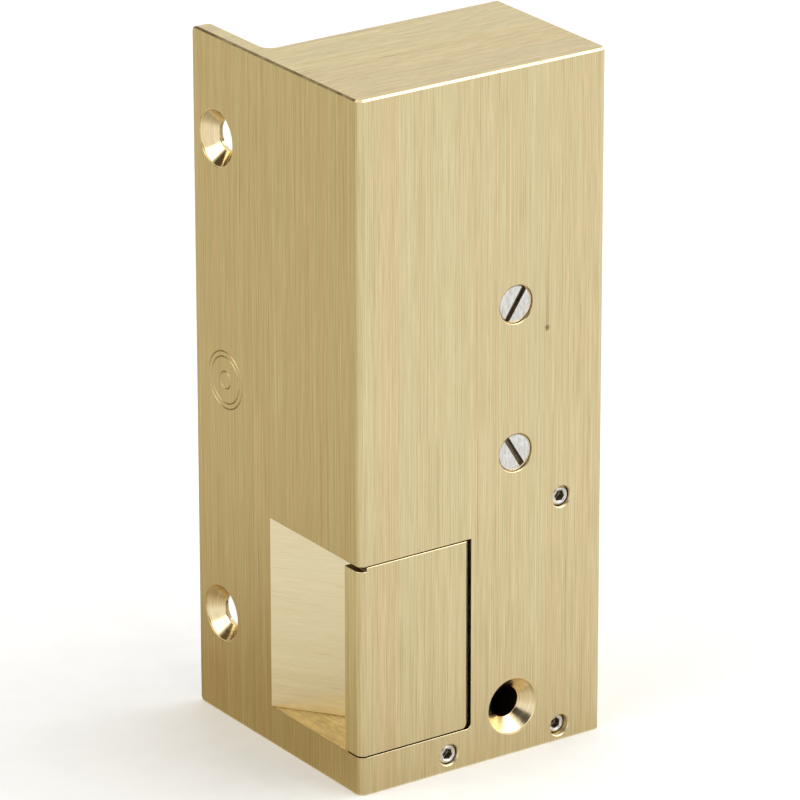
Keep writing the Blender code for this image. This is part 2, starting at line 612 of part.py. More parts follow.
def build_armature(iron, axis):
    """The armature plate, hinged on the yoke's ears; its lower end blocks the lever's heel."""
    y, z = ARMATURE_PIVOT
    left, right = MAGNET_X - ARMATURE_HALF_WIDTH, MAGNET_X + ARMATURE_HALF_WIDTH
    plate = block(left, right, ARMATURE_FRONT, ARMATURE_FRONT + ARMATURE_THICKNESS, ARMATURE_LOW, z)
    armature = finish("armature", plate, iron, axis)
    join(armature, "armature_knuckle", rod((MAGNET_X, y, z), "X", 1.9, left - MAGNET_X + 0.01,
                                           right - MAGNET_X - 0.01, 24))
    cut(armature, "armature_bore", rod((MAGNET_X, y, z), "X", 1.0 + PIN_GAP, -20, 20, 24))
    cut(armature, "armature_waist_l", block(left - 1, left + 3.2, 10, 20, ARMATURE_LOW - 1, 48.5))
    cut(armature, "armature_waist_r", block(right - 3.2, right + 1, 10, 20, ARMATURE_LOW - 1, 48.5))
    return armature


def build_armature_pin(steel):
    """The pin through the yoke's ears and the armature's knuckle."""
    y, z = ARMATURE_PIVOT
    reach = ARMATURE_HALF_WIDTH + 2.9
    profile = [(0, -reach), (0.8, -reach), (1.0, 0.2 - reach), (1.0, reach - 0.2), (0.8, reach), (0, reach)]
    return finish("armature_pin", turned(profile, (MAGNET_X, y, z), "X", 24), steel)


def build_armature_spring(steel):
    """The compression spring that presses the armature onto the core, seated against the back plate."""
    front = ARMATURE_FRONT + ARMATURE_THICKNESS + 0.9
    points = coil((MAGNET_X, COIL_Z + 3), 2.0, front, PLATE_FRONT - 0.5, 5, 0, 14, axis="Y")
    return wire("armature_spring", points, 0.28, steel, 1)


# ---------------------------------------------------------------- terminals and leads
def build_terminals(plastic, brass, steel):
    """The two-pole terminal block, its clamps and screws, and the screw that holds it to the front wall."""
    left, right = TERMINAL_X
    low, high = TERMINAL_Z
    front = FRONT_WALL + FIT_GAP
    middle = ((left + right) / 2, 0, (low + high) / 2)
    screw_z = (low + high) / 2 - 0.5
    body = finish("terminal_block", block(left, right, front, TERMINAL_BACK, low, high), plastic)
    beyond = TERMINAL_BACK + 1
    cut(body, "terminal_step", block(left - 1, right + 1, beyond - 3.2, beyond, high - 3, high + 1))
    hold_down = [(0, -1), (1.4, -1), (1.4, 7), (2.5, 7), (2.5, 20), (0, 20)]
    cut(body, "terminal_hold_down", turned(hold_down, middle, "Y"))
    for i, x in enumerate(POLE_X, 1):
        cut(body, f"terminal_well_{i}", block(x - 2.6, x + 2.6, 5.0, beyond, low + 2.5, high - 3.6))
        cut(body, f"terminal_entry_{i}", rod((x, LEAD_Y, low), "Z", 1.4, -1, 4, 16))
        cut(body, f"terminal_outlet_{i}", rod((x, LEAD_Y, high), "Z", 1.4, -4, 1, 16))
        clamp_stock = block(x - 2.3, x + 2.3, 5.3, 10.4, low + 2.8, high - 3.9)
        clamp = finish(f"terminal_clamp_{i}", clamp_stock, brass)
        cut(clamp, f"clamp_wire_hole_{i}", rod((x, LEAD_Y, low), "Z", 1.35, -1, 20, 16))
        cut(clamp, f"clamp_screw_hole_{i}", rod((x, LEAD_Y, screw_z), "Y", 1.1, 0, 9, 16))
        build_pan_screw(f"terminal_screw_{i}", (x, screw_z), 10.7, 1.0, 2.0, LEAD_Y + 0.7, 0.3 + i, steel)
    tip = FRONT_WALL - 1.7
    build_pan_screw("terminal_block_screw", (middle[0], middle[2]), 7.3, 1.15, 2.2, tip, 2.1, steel)


def build_pan_screw(name, centre, under, shank, head, tip, turn, steel):
    """A slotted screw whose head faces the back; under is the seat of its head."""
    back = under + 1.3
    profile = [(0, tip), (shank - 0.3, tip), (shank, tip + 0.3), (shank, under), (head, under),
               (head, back - 0.3), (head - 0.3, back), (0, back)]
    screw = finish(name, turned(profile, (centre[0], 0, centre[1]), "Y"), steel)
    slotted_head(screw, centre, turn, head, back + 1, back - 0.7, 0.6)


def build_leads(covering):
    """The two insulated leads between the coil and the terminal block."""
    for i, (x, side) in enumerate(zip(POLE_X, (-1, 1)), 1):
        outer = MAGNET_X + side * 10.9
        start = MAGNET_X + side * (COIL_RADIUS + 1.1)
        route = [(start, LEAD_Y + 1, COIL_Z + 1), (outer, LEAD_Y + 1, COIL_Z + 6),
                 (outer, LEAD_Y + 0.5, 76.5), ((outer + x) / 2, LEAD_Y, 80.5),
                 (x, LEAD_Y, TERMINAL_Z[0]), (x, LEAD_Y, TERMINAL_Z[0] + 4.5)]
        wire(f"coil_lead_{i}", smooth_route(route, 2.2), 0.6, covering, 2)


# ---------------------------------------------------------------- back plate and inlet
def build_back_plate(steel):
    """The plate that closes the case from behind, with the cable inlet."""
    gap = FIT_GAP / 2
    inset = LATCH_SIDE_WALL - PLATE_LEDGE + gap
    plate = finish("back_plate", block(inset, CASE_WIDTH - PLATE_LEDGE - gap, PLATE_FRONT, CASE_DEPTH,
                                       PLATE_LEDGE + gap, CASE_HEIGHT - PLATE_LEDGE - gap), steel)
    mount = (MOUNT_SCREW[0], 0, MOUNT_SCREW[1])
    cut(plate, "plate_mount_hole", rod(mount, "Y", MOUNT_BORE_RADIUS, 20, 30, 24))
    cut(plate, "plate_inlet", rod((GROMMET[0], 0, GROMMET[1]), "Y", INLET_RADIUS, 20, 30, 24))
    for i, (x, z) in enumerate(PLATE_SCREWS, 1):
        hole, head = PLATE_SCREW_RADIUS + 0.25, PLATE_SCREW_HEAD_RADIUS + 0.15
        profile = [(0, 20), (hole, 20), (hole, CASE_DEPTH - 1.3), (head, CASE_DEPTH - 0.2), (head, 30),
                   (0, 30)]
        cut(plate, f"plate_hole_{i}", turned(profile, (x, 0, z), "Y"))
    return plate


def build_grommet(rubber):
    """The rubber grommet that lines the cable inlet."""
    inner, neck, lip = GROMMET_BORE_RADIUS, GROMMET_NECK_RADIUS, GROMMET_LIP_RADIUS
    front, back = PLATE_FRONT - 1.3, CASE_DEPTH - 0.1
    seat = PLATE_FRONT - 0.2
    profile = [(inner, front), (lip - 0.4, front), (lip, front + 0.4), (lip, seat), (neck, seat),
               (neck, back), (inner, back)]
    return finish("cable_grommet", turned(profile, (GROMMET[0], 0, GROMMET[1]), "Y", 24), rubber)


def main():
    """Build the whole strike."""
    clear_scene()
    brass = make_material("brass", (0.62, 0.50, 0.25), 0.35, 1.0)
    nickel = make_material("nickel", (0.72, 0.70, 0.66), 0.3, 1.0)
    dark_steel = make_material("dark_steel", (0.30, 0.29, 0.28), 0.4, 1.0)
    zinc = make_material("zinc_steel", (0.55, 0.55, 0.53), 0.4, 1.0)
    iron = make_material("soft_iron", (0.42, 0.41, 0.40), 0.45, 1.0)
    plastic = make_material("bobbin_plastic", (0.80, 0.78, 0.70), 0.5, 0.0)
    copper = make_material("copper", (0.62, 0.28, 0.14), 0.35, 1.0)
    terminal = make_material("terminal_plastic", (0.20, 0.22, 0.24), 0.5, 0.0)
    rubber = make_material("rubber", (0.03, 0.03, 0.03), 0.8, 0.0)
    covering = make_material("lead_covering", (0.45, 0.06, 0.05), 0.5, 0.0)

    keeper_axis = make_axis("keeper_axis", *KEEPER_PIVOT, KEEPER_LOW)
    lever_axis = make_axis("lever_axis", *LEVER_PIVOT, LEVER_LOW)
    armature_axis = make_axis("armature_axis", MAGNET_X, *ARMATURE_PIVOT)
    bpy.context.view_layer.update()

    build_case(brass)
    build_keeper(brass, keeper_axis)
    build_keeper_spring(zinc, keeper_axis)
    finish("keeper_pin", chamfered_pin((*KEEPER_PIVOT, 0), PIN_RADIUS, 0.3, KEEPER_PIN_TOP), zinc)
    build_lever(zinc, lever_axis)
    build_lever_spring(zinc)
    finish("lever_pin", chamfered_pin((*LEVER_PIVOT, 0), PIN_RADIUS, 0.3, LEVER_PIN_TOP), zinc)
    for name, x, z, recess in SET_SCREWS:
        build_set_screw(name, x, z, recess, nickel)
    build_magnet_screw("magnet_screw_lower", MAGNET_SCREW_Z[0], math.radians(122), nickel)
    build_magnet_screw("magnet_screw_upper", MAGNET_SCREW_Z[1], math.radians(56), nickel)
    build_yoke(iron)
    build_core(iron)
    build_bobbin(plastic)
    build_winding(copper)
    build_armature(iron, armature_axis)
    build_armature_pin(zinc)
    build_armature_spring(zinc)
    build_terminals(terminal, brass, zinc)
    build_leads(covering)
    build_back_plate(zinc)
    for i, (x, z) in enumerate(PLATE_SCREWS, 1):
        build_plate_screw(f"back_plate_screw_{i}", x, z, dark_steel)
    build_grommet(rubber)


main()
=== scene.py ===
"""Looks of a surface-mounted electric door strike in brushed brass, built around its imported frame.

Lengths in the classes below are millimetres. A place is measured from the case's lower front corner on
the latch side: x runs along the front, y goes back to the door frame and z goes up. place() turns such a
point into the frame's metres.
"""

import json
import logging
import math
from dataclasses import dataclass, field
from enum import Enum
from typing import Callable, Sequence

import bmesh
import bpy
from mathutils import Matrix, Quaternion, Vector


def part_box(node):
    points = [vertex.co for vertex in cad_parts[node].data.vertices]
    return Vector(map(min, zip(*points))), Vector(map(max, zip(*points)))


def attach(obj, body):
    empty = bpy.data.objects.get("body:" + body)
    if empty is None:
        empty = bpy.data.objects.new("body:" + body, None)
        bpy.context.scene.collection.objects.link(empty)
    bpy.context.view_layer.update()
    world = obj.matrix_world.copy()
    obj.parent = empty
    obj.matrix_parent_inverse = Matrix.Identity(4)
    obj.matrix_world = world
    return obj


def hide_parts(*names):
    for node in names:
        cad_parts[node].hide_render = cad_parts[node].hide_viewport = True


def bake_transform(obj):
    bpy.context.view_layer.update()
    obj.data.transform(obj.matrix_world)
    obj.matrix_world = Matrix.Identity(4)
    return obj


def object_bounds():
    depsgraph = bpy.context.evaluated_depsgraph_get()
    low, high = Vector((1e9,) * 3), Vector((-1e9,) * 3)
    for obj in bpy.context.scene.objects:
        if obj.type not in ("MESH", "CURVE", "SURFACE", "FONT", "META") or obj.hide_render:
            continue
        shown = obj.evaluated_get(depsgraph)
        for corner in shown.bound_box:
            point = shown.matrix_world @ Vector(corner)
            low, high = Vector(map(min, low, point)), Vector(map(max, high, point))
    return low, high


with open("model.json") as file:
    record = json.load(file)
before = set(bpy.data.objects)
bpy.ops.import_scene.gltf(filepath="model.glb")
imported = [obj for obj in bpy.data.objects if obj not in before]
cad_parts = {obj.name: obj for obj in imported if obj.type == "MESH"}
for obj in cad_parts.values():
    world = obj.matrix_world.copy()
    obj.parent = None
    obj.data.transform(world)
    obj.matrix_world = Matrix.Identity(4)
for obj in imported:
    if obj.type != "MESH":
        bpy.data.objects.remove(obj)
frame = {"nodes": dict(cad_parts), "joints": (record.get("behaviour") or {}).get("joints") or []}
CAD_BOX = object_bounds()

LOG = logging.getLogger("door_strike")
MM = 0.001
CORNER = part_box("case")[0]
SMOOTH_BELOW = math.radians(30)
MARK_SHARES = (0.46, 0.40, 0.14)
SCRATCH_STRENGTH = 0.45
BRIGHT_SCRATCH = (1.35, 1.35, 1.45, 1)
DEEP_SCRATCH = (0.62, 0.58, 0.5, 1)

Point = tuple[float, float, float]
Piece = bpy.types.Object
Solid = bmesh.types.BMesh
Socket = bpy.types.NodeSocket
Outline = list[tuple[float, float]]


# ---------------------------------------------------------------- places in the frame
def place(x: float, y: float, z: float) -> Vector:
    """Turn a place on the case into the frame's metres.

    Args:
        x: Millimetres along the front from the latch side.
        y: Millimetres back from the front face.
        z: Millimetres up from the bottom.

    Returns:
        The point in metres.
    """
    return CORNER + Vector((x, y, z)) * MM


def node_box(node: str) -> tuple[Vector, Vector]:
    """Give a CAD node's box in millimetres from the case's corner.

    Args:
        node: The CAD node's name.

    Returns:
        Its lowest and highest corners.
    """
    low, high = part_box(node)
    return (low - CORNER) / MM, (high - CORNER) / MM


def node_middle(node: str) -> Vector:
    """The middle of a CAD node's box, in millimetres from the case's corner."""
    low, high = node_box(node)
    return (low + high) / 2


def joint_place(name: str) -> Vector:
    """The point that a joint turns about, in millimetres from the case's corner."""
    joint = next(j for j in frame["joints"] if j["name"] == name)
    return (Vector(joint["pos_m"]) - CORNER) / MM


# ---------------------------------------------------------------- finishes
class Axis(Enum):
    """A direction that a grain runs in or that a tool turns about."""

    X = 0
    Y = 1
    Z = 2


class Graph:
    """A material's node tree with its Principled shader, and short ways to add to it."""

    def __init__(self, name: str) -> None:
        """Make an empty material with a Principled shader."""
        self.material = bpy.data.materials.new(name)
        self.material.use_nodes = True
        self.tree = self.material.node_tree
        self.shader = self.tree.nodes["Principled BSDF"]

    def add(self, kind: str, inputs: dict | None = None, **settings: object) -> bpy.types.Node:
        """Add a node.

        Args:
            kind: The node's type, without its ShaderNode prefix.
            inputs: A socket or a value for each input, by name or number.
            settings: The node's own properties.

        Returns:
            The node.
        """
        node = self.tree.nodes.new("ShaderNode" + kind)
        for key, value in settings.items():
            setattr(node, key, value)
        for key, value in (inputs or {}).items():
            self.feed(node.inputs[key], value)
        return node

    def feed(self, socket: Socket, value: object) -> None:
        """Link a socket to an input, or set the input's own value."""
        if isinstance(value, Socket):
            self.tree.links.new(value, socket)
        else:
            socket.default_value = value

    def maths(self, operation: str, *values: object) -> Socket:
        """The result of a Math node on sockets or numbers."""
        return self.add("Math", dict(enumerate(values)), operation=operation).outputs[0]

    def vector(self, operation: str, *values: object) -> Socket:
        """The result of a Vector Math node on sockets or triples."""
        return self.add("VectorMath", dict(enumerate(values)), operation=operation).outputs[0]

    def noise(self, vector: Socket, scale: Sequence[float], detail: float = 2.0) -> Socket:
        """Noise whose grains have a size of their own along each axis.

        Args:
            vector: The coordinates, in metres.
            scale: The grain's length along X, Y and Z in millimetres.
            detail: The octaves.

        Returns:
            The noise, mostly from 0.3 to 0.7.
        """
        spread = self.vector("MULTIPLY", vector, tuple(1.0 / (MM * length) for length in scale))
        inputs = {"Vector": spread, "Scale": 1.0, "Detail": detail, "Roughness": 0.6}
        return self.add("TexNoise", inputs).outputs[0]

    def ramp(self, value: Socket, low: float, high: float, start: float = 0.0,
             end: float = 1.0) -> Socket:
        """A value from low to high spread smoothly over start to end."""
        inputs = {"Value": value, "From Min": low, "From Max": high, "To Min": start, "To Max": end}
        return self.add("MapRange", inputs, interpolation_type="SMOOTHSTEP").outputs[0]

    def mix(self, factor: object, first: object, second: object, blend: str = "MIX") -> Socket:
        """Two colours mixed by a factor."""
        node = self.add("Mix", data_type="RGBA", blend_type=blend)
        for socket, value in zip((node.inputs[0], node.inputs[6], node.inputs[7]), (factor, first, second)):
            self.feed(socket, value)
        return node.outputs[2]


@dataclass(frozen=True)
class Stain:
    """A small dark spot with a faint trail above it, on a face that looks along Y."""

    x: float
    z: float
    radius: float = 0.45
    trail: float = 16.0
    spot_depth: float = 0.75
    trail_depth: float = 0.28
    colour: Point = (0.10, 0.075, 0.03)

    def shade(self, graph: Graph, where: Socket) -> Socket:
        """How dark the stain is at each point.

        Args:
            graph: The material's graph.
            where: The surface's coordinates in metres.

        Returns:
            A value from 0 to 1.
        """
        middle = place(self.x, 0, self.z)
        across = graph.vector("SUBTRACT", where, tuple(middle))
        parts = graph.add("SeparateXYZ", {0: across})
        beside = graph.maths("ABSOLUTE", parts.outputs["X"])
        distance = graph.vector("MULTIPLY", across, (1.0, 0.0, 0.8))
        length = graph.add("VectorMath", {0: distance}, operation="LENGTH").outputs["Value"]
        spot = graph.ramp(length, self.radius * 1.3 * MM, self.radius * 0.2 * MM)
        narrow = graph.ramp(beside, self.radius * 1.1 * MM, 0.0)
        up = graph.ramp(parts.outputs["Z"], -1.0 * MM, 1.5 * MM)
        fading = graph.ramp(parts.outputs["Z"], self.trail * MM, 0.0)
        line = graph.maths("MULTIPLY", graph.maths("MULTIPLY", narrow, up), fading)
        trail = graph.maths("MULTIPLY", line, self.trail_depth)
        return graph.maths("MAXIMUM", graph.maths("MULTIPLY", spot, self.spot_depth), trail)


@dataclass(frozen=True)
class Metal:
    """A worked metal surface whose tool marks have a length of their own along each axis."""

    name: str
    light: Point
    dark: Point
    grain: Point
    roughness: float = 0.34
    spread: float = 0.08
    anisotropy: float = 0.0
    tangent: Axis = Axis.Z
    relief: float = 0.25
    depth: float = 0.02
    contrast: float = 1.0
    tint: Point = (1.0, 0.955, 0.94)
    stain: Stain | None = None

    def material(self) -> bpy.types.Material:
        """Build the material once, and give the same one after that.

        Returns:
            The material.
        """
        if self.name in bpy.data.materials:
            return bpy.data.materials[self.name]
        graph = Graph(self.name)
        where = graph.add("TexCoord").outputs["Object"]
        fine = graph.noise(where, self.grain, 2.0)
        short = graph.noise(where, tuple(min(length, 0.3 * max(self.grain)) for length in self.grain), 2.0)
        broad = graph.noise(where, tuple(7.0 * length for length in self.grain), 2.0)
        bands = graph.noise(where, tuple(30.0 * length for length in self.grain), 2.0)
        cloud = graph.noise(where, (14.0, 14.0, 14.0), 3.0)
        noises = zip((fine, short, broad), MARK_SHARES)
        shares = [graph.maths("MULTIPLY", noise, share) for noise, share in noises]
        marks = graph.maths("ADD", graph.maths("ADD", shares[0], shares[1]), shares[2])
        reach = 0.15 / self.contrast
        colour = graph.mix(graph.ramp(marks, 0.5 - reach, 0.5 + reach), (*self.dark, 1), (*self.light, 1))
        tinted = graph.mix(1.0, colour, (*self.tint, 1), "MULTIPLY")
        colour = graph.mix(graph.ramp(bands, 0.36, 0.64), colour, tinted)
        scratches = graph.noise(where, tuple(1.6 * length for length in self.grain), 1.0)
        strength = SCRATCH_STRENGTH * self.contrast
        bright = graph.maths("MULTIPLY", graph.ramp(scratches, 0.64, 0.74), strength)
        deep = graph.maths("MULTIPLY", graph.ramp(scratches, 0.36, 0.26), strength)
        lined = graph.mix(bright, colour, graph.mix(1.0, colour, BRIGHT_SCRATCH, "MULTIPLY"))
        banded = graph.mix(deep, lined, graph.mix(1.0, colour, DEEP_SCRATCH, "MULTIPLY"))
        if self.stain is not None:
            stained = self.stain.shade(graph, where)
            banded = graph.mix(stained, banded, (*self.stain.colour, 1))
        graph.feed(graph.shader.inputs["Base Color"], banded)
        rough = graph.maths("ADD", graph.ramp(broad, 0.3, 0.7, -self.spread, self.spread),
                            graph.ramp(cloud, 0.35, 0.7, self.roughness, self.roughness + 0.6 * self.spread))
        graph.feed(graph.shader.inputs["Roughness"], rough)
        graph.shader.inputs["Metallic"].default_value = 1.0
        graph.shader.inputs["Anisotropic"].default_value = self.anisotropy
        if self.anisotropy:
            tangent = graph.add("Tangent", direction_type="RADIAL", axis=self.tangent.name)
            graph.feed(graph.shader.inputs["Tangent"], tangent.outputs[0])
        bump = graph.add("Bump", {"Height": marks, "Strength": self.relief, "Distance": self.depth * MM})
        graph.feed(graph.shader.inputs["Normal"], bump.outputs[0])
        return graph.material


@dataclass(frozen=True)
class Moulded:
    """A plastic, rubber or enamelled surface with a fine texture."""

    name: str
    light: Point
    dark: Point
    grain: float = 0.25
    roughness: float = 0.45
    relief: float = 0.2
    coat: float = 0.0

    def material(self) -> bpy.types.Material:
        """Build the material once, and give the same one after that.

        Returns:
            The material.
        """
        if self.name in bpy.data.materials:
            return bpy.data.materials[self.name]
        graph = Graph(self.name)
        where = graph.add("TexCoord").outputs["Object"]
        grit = graph.noise(where, (self.grain,) * 3, 2.0)
        cloud = graph.noise(where, (5.0, 5.0, 5.0), 3.0)
        colour = graph.mix(graph.ramp(cloud, 0.35, 0.65), (*self.dark, 1), (*self.light, 1))
        graph.feed(graph.shader.inputs["Base Color"], colour)
        rough = graph.ramp(cloud, 0.3, 0.7, self.roughness - 0.07, self.roughness + 0.07)
        graph.feed(graph.shader.inputs["Roughness"], rough)
        graph.shader.inputs["Coat Weight"].default_value = self.coat
        bump = graph.add("Bump", {"Height": grit, "Strength": self.relief, "Distance": 0.04 * MM})
        graph.feed(graph.shader.inputs["Normal"], bump.outputs[0])
        return graph.material


BRASS_LIGHT = (0.83, 0.72, 0.435)
BRASS_DARK = (0.60, 0.51, 0.27)

UPRIGHT = Metal("brass_upright_grain", BRASS_LIGHT, BRASS_DARK, (0.08, 0.08, 24.0), 0.36, 0.06, 0.45,
                Axis.Z, 0.35, 0.015, 1.15, (1.0, 0.945, 0.93), Stain(32.4, 65.0))
# a lighter copy of the upright brass for the keeper's latch-side face: painted light
KEEPER_SIDE_PAINTED_LIGHT = Metal("brass_keeper_side", (0.97, 0.88, 0.56), (0.70, 0.62, 0.36), (0.08, 0.08, 24.0), 0.36,
                    0.06, 0.45, Axis.Z, 0.35, 0.015, 1.15, (1.0, 0.96, 0.94))
ACROSS = Metal("brass_top_grain", (0.74, 0.63, 0.37), (0.53, 0.44, 0.225), (9.0, 0.13, 0.13), 0.36, 0.08,
               0.45, Axis.X, 0.45, 0.02, 1.3)
MILLED = Metal("brass_milled_ramp", (0.95, 0.865, 0.625), (0.86, 0.775, 0.52), (5.0, 5.0, 0.12), 0.34, 0.08,
               0.3, Axis.Y, 0.3, 0.02, 0.6, (1.0, 0.98, 0.965))
# a darker copy of the milled brass for the latch pocket's floor and ceiling: painted shade
POCKET_PAINTED_SHADE = Metal("brass_milled_floor", (0.50, 0.39, 0.17), (0.34, 0.25, 0.10), (0.5, 5.0, 0.5), 0.3, 0.08,
               0.0, Axis.Z, 0.25, 0.02, 1.0)
# a darker copy of the brass for the inner rooms, holes and hollows of the case and the keeper: painted shade
ROOM_PAINTED_SHADE = Metal("brass_milled_room", (0.66, 0.53, 0.27), (0.46, 0.36, 0.17), (0.6, 3.0, 3.0), 0.4, 0.1)
# brighter brass for broken edges, the top chamfer and the screw seats: partly real edge wear, partly a
# painted highlight
WEAR_AND_HIGHLIGHT = Metal("brass_worn_edge", (0.93, 0.80, 0.52), (0.78, 0.64, 0.36), (0.5, 0.5, 3.0), 0.3, 0.05,
             0.0, Axis.Z, 0.1, 0.01, 0.8)
TURNED_Y = Metal("brass_front_countersink", (0.90, 0.77, 0.50), (0.74, 0.60, 0.33), (6.0, 0.12, 6.0),
                 0.17, 0.05, 0.0, Axis.Z, 0.12, 0.01, 0.7)
TURNED_X = Metal("brass_flange_countersink", (0.90, 0.77, 0.50), (0.74, 0.60, 0.33), (0.12, 6.0, 6.0),
                 0.14, 0.05, 0.0, Axis.Z, 0.12, 0.01, 0.7)
SHADED = Metal("brass_shaded_cut", (0.30, 0.22, 0.10), (0.18, 0.13, 0.06), (0.5, 0.5, 0.5), 0.5, 0.1)
# near-black brass for the mounting hole's bore: painted shade
BORE_PAINTED_SHADE = Metal("brass_dark_bore", (0.045, 0.034, 0.016), (0.02, 0.015, 0.008), (0.6, 3.0, 0.6), 0.6, 0.1)
ENGRAVED = Metal("brass_engraved_line", (0.62, 0.50, 0.26), (0.42, 0.33, 0.15), (0.3, 0.3, 0.3), 0.4, 0.08)
NICKEL = Metal("nickel_screw_head", (0.86, 0.85, 0.82), (0.62, 0.61, 0.59), (0.35, 2.0, 1.6), 0.27, 0.09, 0.0,
               Axis.Z, 0.2, 0.015, 0.9, (0.97, 0.96, 0.93))
# a dark colour for the screws' slots and key sockets: painted shade
SOCKET_PAINTED_SHADE = Metal("screw_recess", (0.36, 0.30, 0.19), (0.17, 0.14, 0.09), (0.4, 0.4, 0.4), 0.5, 0.1)
ZINC = Metal("zinc_plate", (0.66, 0.67, 0.68), (0.50, 0.51, 0.53), (1.1, 1.1, 1.1), 0.36, 0.1, 0.0, Axis.Z,
             0.15, 0.02, 0.8, (0.97, 0.97, 0.94))
SHEET_ZINC = Metal("zinc_sheet", (0.70, 0.71, 0.71), (0.55, 0.56, 0.57), (0.2, 0.5, 12.0), 0.34, 0.08, 0.35,
                   Axis.Z, 0.2, 0.015, 0.8, (0.96, 0.97, 0.98))
SPRING = Metal("spring_steel", (0.62, 0.61, 0.58), (0.42, 0.41, 0.39), (0.3, 0.3, 2.0), 0.28, 0.06)
BLACKENED = Metal("blackened_screw", (0.20, 0.19, 0.18), (0.10, 0.095, 0.09), (0.5, 1.5, 0.5), 0.38, 0.1)
IRON = Metal("soft_iron", (0.50, 0.49, 0.47), (0.36, 0.35, 0.33), (0.25, 0.8, 5.0), 0.42, 0.1)
COPPER = Metal("enamelled_copper", (0.70, 0.32, 0.17), (0.50, 0.20, 0.09), (1.5, 0.2, 1.5), 0.25, 0.06)
BOBBIN = Moulded("bobbin_nylon", (0.84, 0.81, 0.71), (0.76, 0.72, 0.61), roughness=0.5)
TERMINAL = Moulded("terminal_plastic", (0.13, 0.15, 0.17), (0.09, 0.10, 0.12), roughness=0.42)
RUBBER = Moulded("grommet_rubber", (0.045, 0.045, 0.047), (0.025, 0.025, 0.026), 0.35, 0.62, 0.35)
COVERING = Moulded("lead_covering", (0.52, 0.06, 0.05), (0.40, 0.04, 0.035), 0.3, 0.4, 0.15)
FLOOR = Moulded("studio_floor", (0.94, 0.94, 0.935), (0.925, 0.925, 0.92), 2.0, 0.6, 0.0)

Finish = Metal | Moulded


# ---------------------------------------------------------------- mesh making
def arc(centre: Sequence[float], radius: float, start: float, end: float, steps: int) -> Outline:
    """Points on an arc, both ends included.

    Args:
        centre: The arc's centre.
        radius: Its radius.
        start: The first point's angle in radians.
        end: The last point's angle.
        steps: The sides between them.

    Returns:
        The points.
    """
    return [(centre[0] + radius * math.cos(start + (end - start) * i / steps),
             centre[1] + radius * math.sin(start + (end - start) * i / steps)) for i in range(steps + 1)]


def loft(rings: Sequence[Sequence[Vector]]) -> Solid:
    """A closed solid through rings of the same number of points, which are in millimetres.

    Args:
        rings: The rings from one end to the other.

    Returns:
        The solid, in the frame's metres.
    """
    bm = bmesh.new()
    loops = [[bm.verts.new(place(*point)) for point in ring] for ring in rings]
    count = len(rings[0])
    for lower, upper in zip(loops, loops[1:]):
        for i in range(count):
            bm.faces.new((lower[i], lower[(i + 1) % count], upper[(i + 1) % count], upper[i]))
    bm.faces.new(reversed(loops[0]))
    bm.faces.new(loops[-1])
    bmesh.ops.recalc_face_normals(bm, faces=bm.faces)
    return bm


def prism(outline: Outline, low: float, high: float, axis: Axis = Axis.Z) -> Solid:
    """A prism whose outline lies across an axis.

    Args:
        outline: The outline's points, in the order of the two other axes.
        low: Where it starts along the axis.
        high: Where it ends.
        axis: The axis.

    Returns:
        The solid.
    """
    def spot(u: float, v: float, along: float) -> Vector:
        """Put an outline's point at a distance along the axis."""
        point = [u, v]
        point.insert(axis.value, along)
        return Vector(point)

    return loft([[spot(u, v, along) for u, v in outline] for along in (low, high)])


def block(low: Sequence[float], high: Sequence[float]) -> Solid:
    """A box between two corners."""
    outline = [(low[0], low[1]), (high[0], low[1]), (high[0], high[1]), (low[0], high[1])]
    return prism(outline, low[2], high[2])


def lathe(profile: Outline, centre: Sequence[float], axis: Axis, sides: int = 64) -> Solid:
    """A turned solid.

    Args:
        profile: A loop of radii and distances along the axis from the centre.
        centre: A point on the axis.
        axis: The axis.
        sides: The sides of the round.

    Returns:
        The solid, in the frame's metres.
    """
    bm = bmesh.new()
    verts = [bm.verts.new((radius * MM, 0, along * MM)) for radius, along in profile]
    edges = [bm.edges.new((verts[i], verts[(i + 1) % len(verts)])) for i in range(len(verts))
             if profile[i][0] + profile[(i + 1) % len(verts)][0] > 0]
    bmesh.ops.spin(bm, geom=verts + edges, cent=(0, 0, 0), axis=(0, 0, 1), angle=math.tau, steps=sides)
    bmesh.ops.remove_doubles(bm, verts=bm.verts, dist=1e-6)
    turn = Vector((0, 0, 1)).rotation_difference(Vector([float(axis.value == i) for i in range(3)]))
    move = Matrix.Translation(place(*centre)) @ turn.to_matrix().to_4x4()
    bmesh.ops.transform(bm, matrix=move, verts=bm.verts)
    bmesh.ops.recalc_face_normals(bm, faces=bm.faces)
    return bm


def as_object(name: str, bm: Solid, *finishes: Finish) -> Piece:
    """Make a bmesh an object in the scene.

    Args:
        name: The object's name.
        bm: The mesh, which is freed.
        finishes: The finishes of its material slots.

    Returns:
        The object.
    """
    mesh = bpy.data.meshes.new(name)
    bm.to_mesh(mesh)
    bm.free()
    for finish in finishes:
        mesh.materials.append(finish.material())
    made = bpy.data.objects.new(name, mesh)
    bpy.context.scene.collection.objects.link(made)
    return made


def settle(source: Piece) -> None:
    """Replace an object's mesh by what its modifiers make of it, and remove them."""
    bpy.context.view_layer.update()
    graph = bpy.context.evaluated_depsgraph_get()
    made = source.evaluated_get(graph)
    mesh = bpy.data.meshes.new_from_object(made, preserve_all_data_layers=True, depsgraph=graph)
    mesh.name = source.name
    source.modifiers.clear()
    source.data = mesh


def smooth(piece: Piece) -> None:
    """Shade a piece smooth round its curves and flat on its flats."""
    piece.data.shade_smooth()
    piece.data.set_sharp_from_angle(angle=SMOOTH_BELOW)
    piece.modifiers.new("flats", "WEIGHTED_NORMAL").keep_sharp = True
    settle(piece)


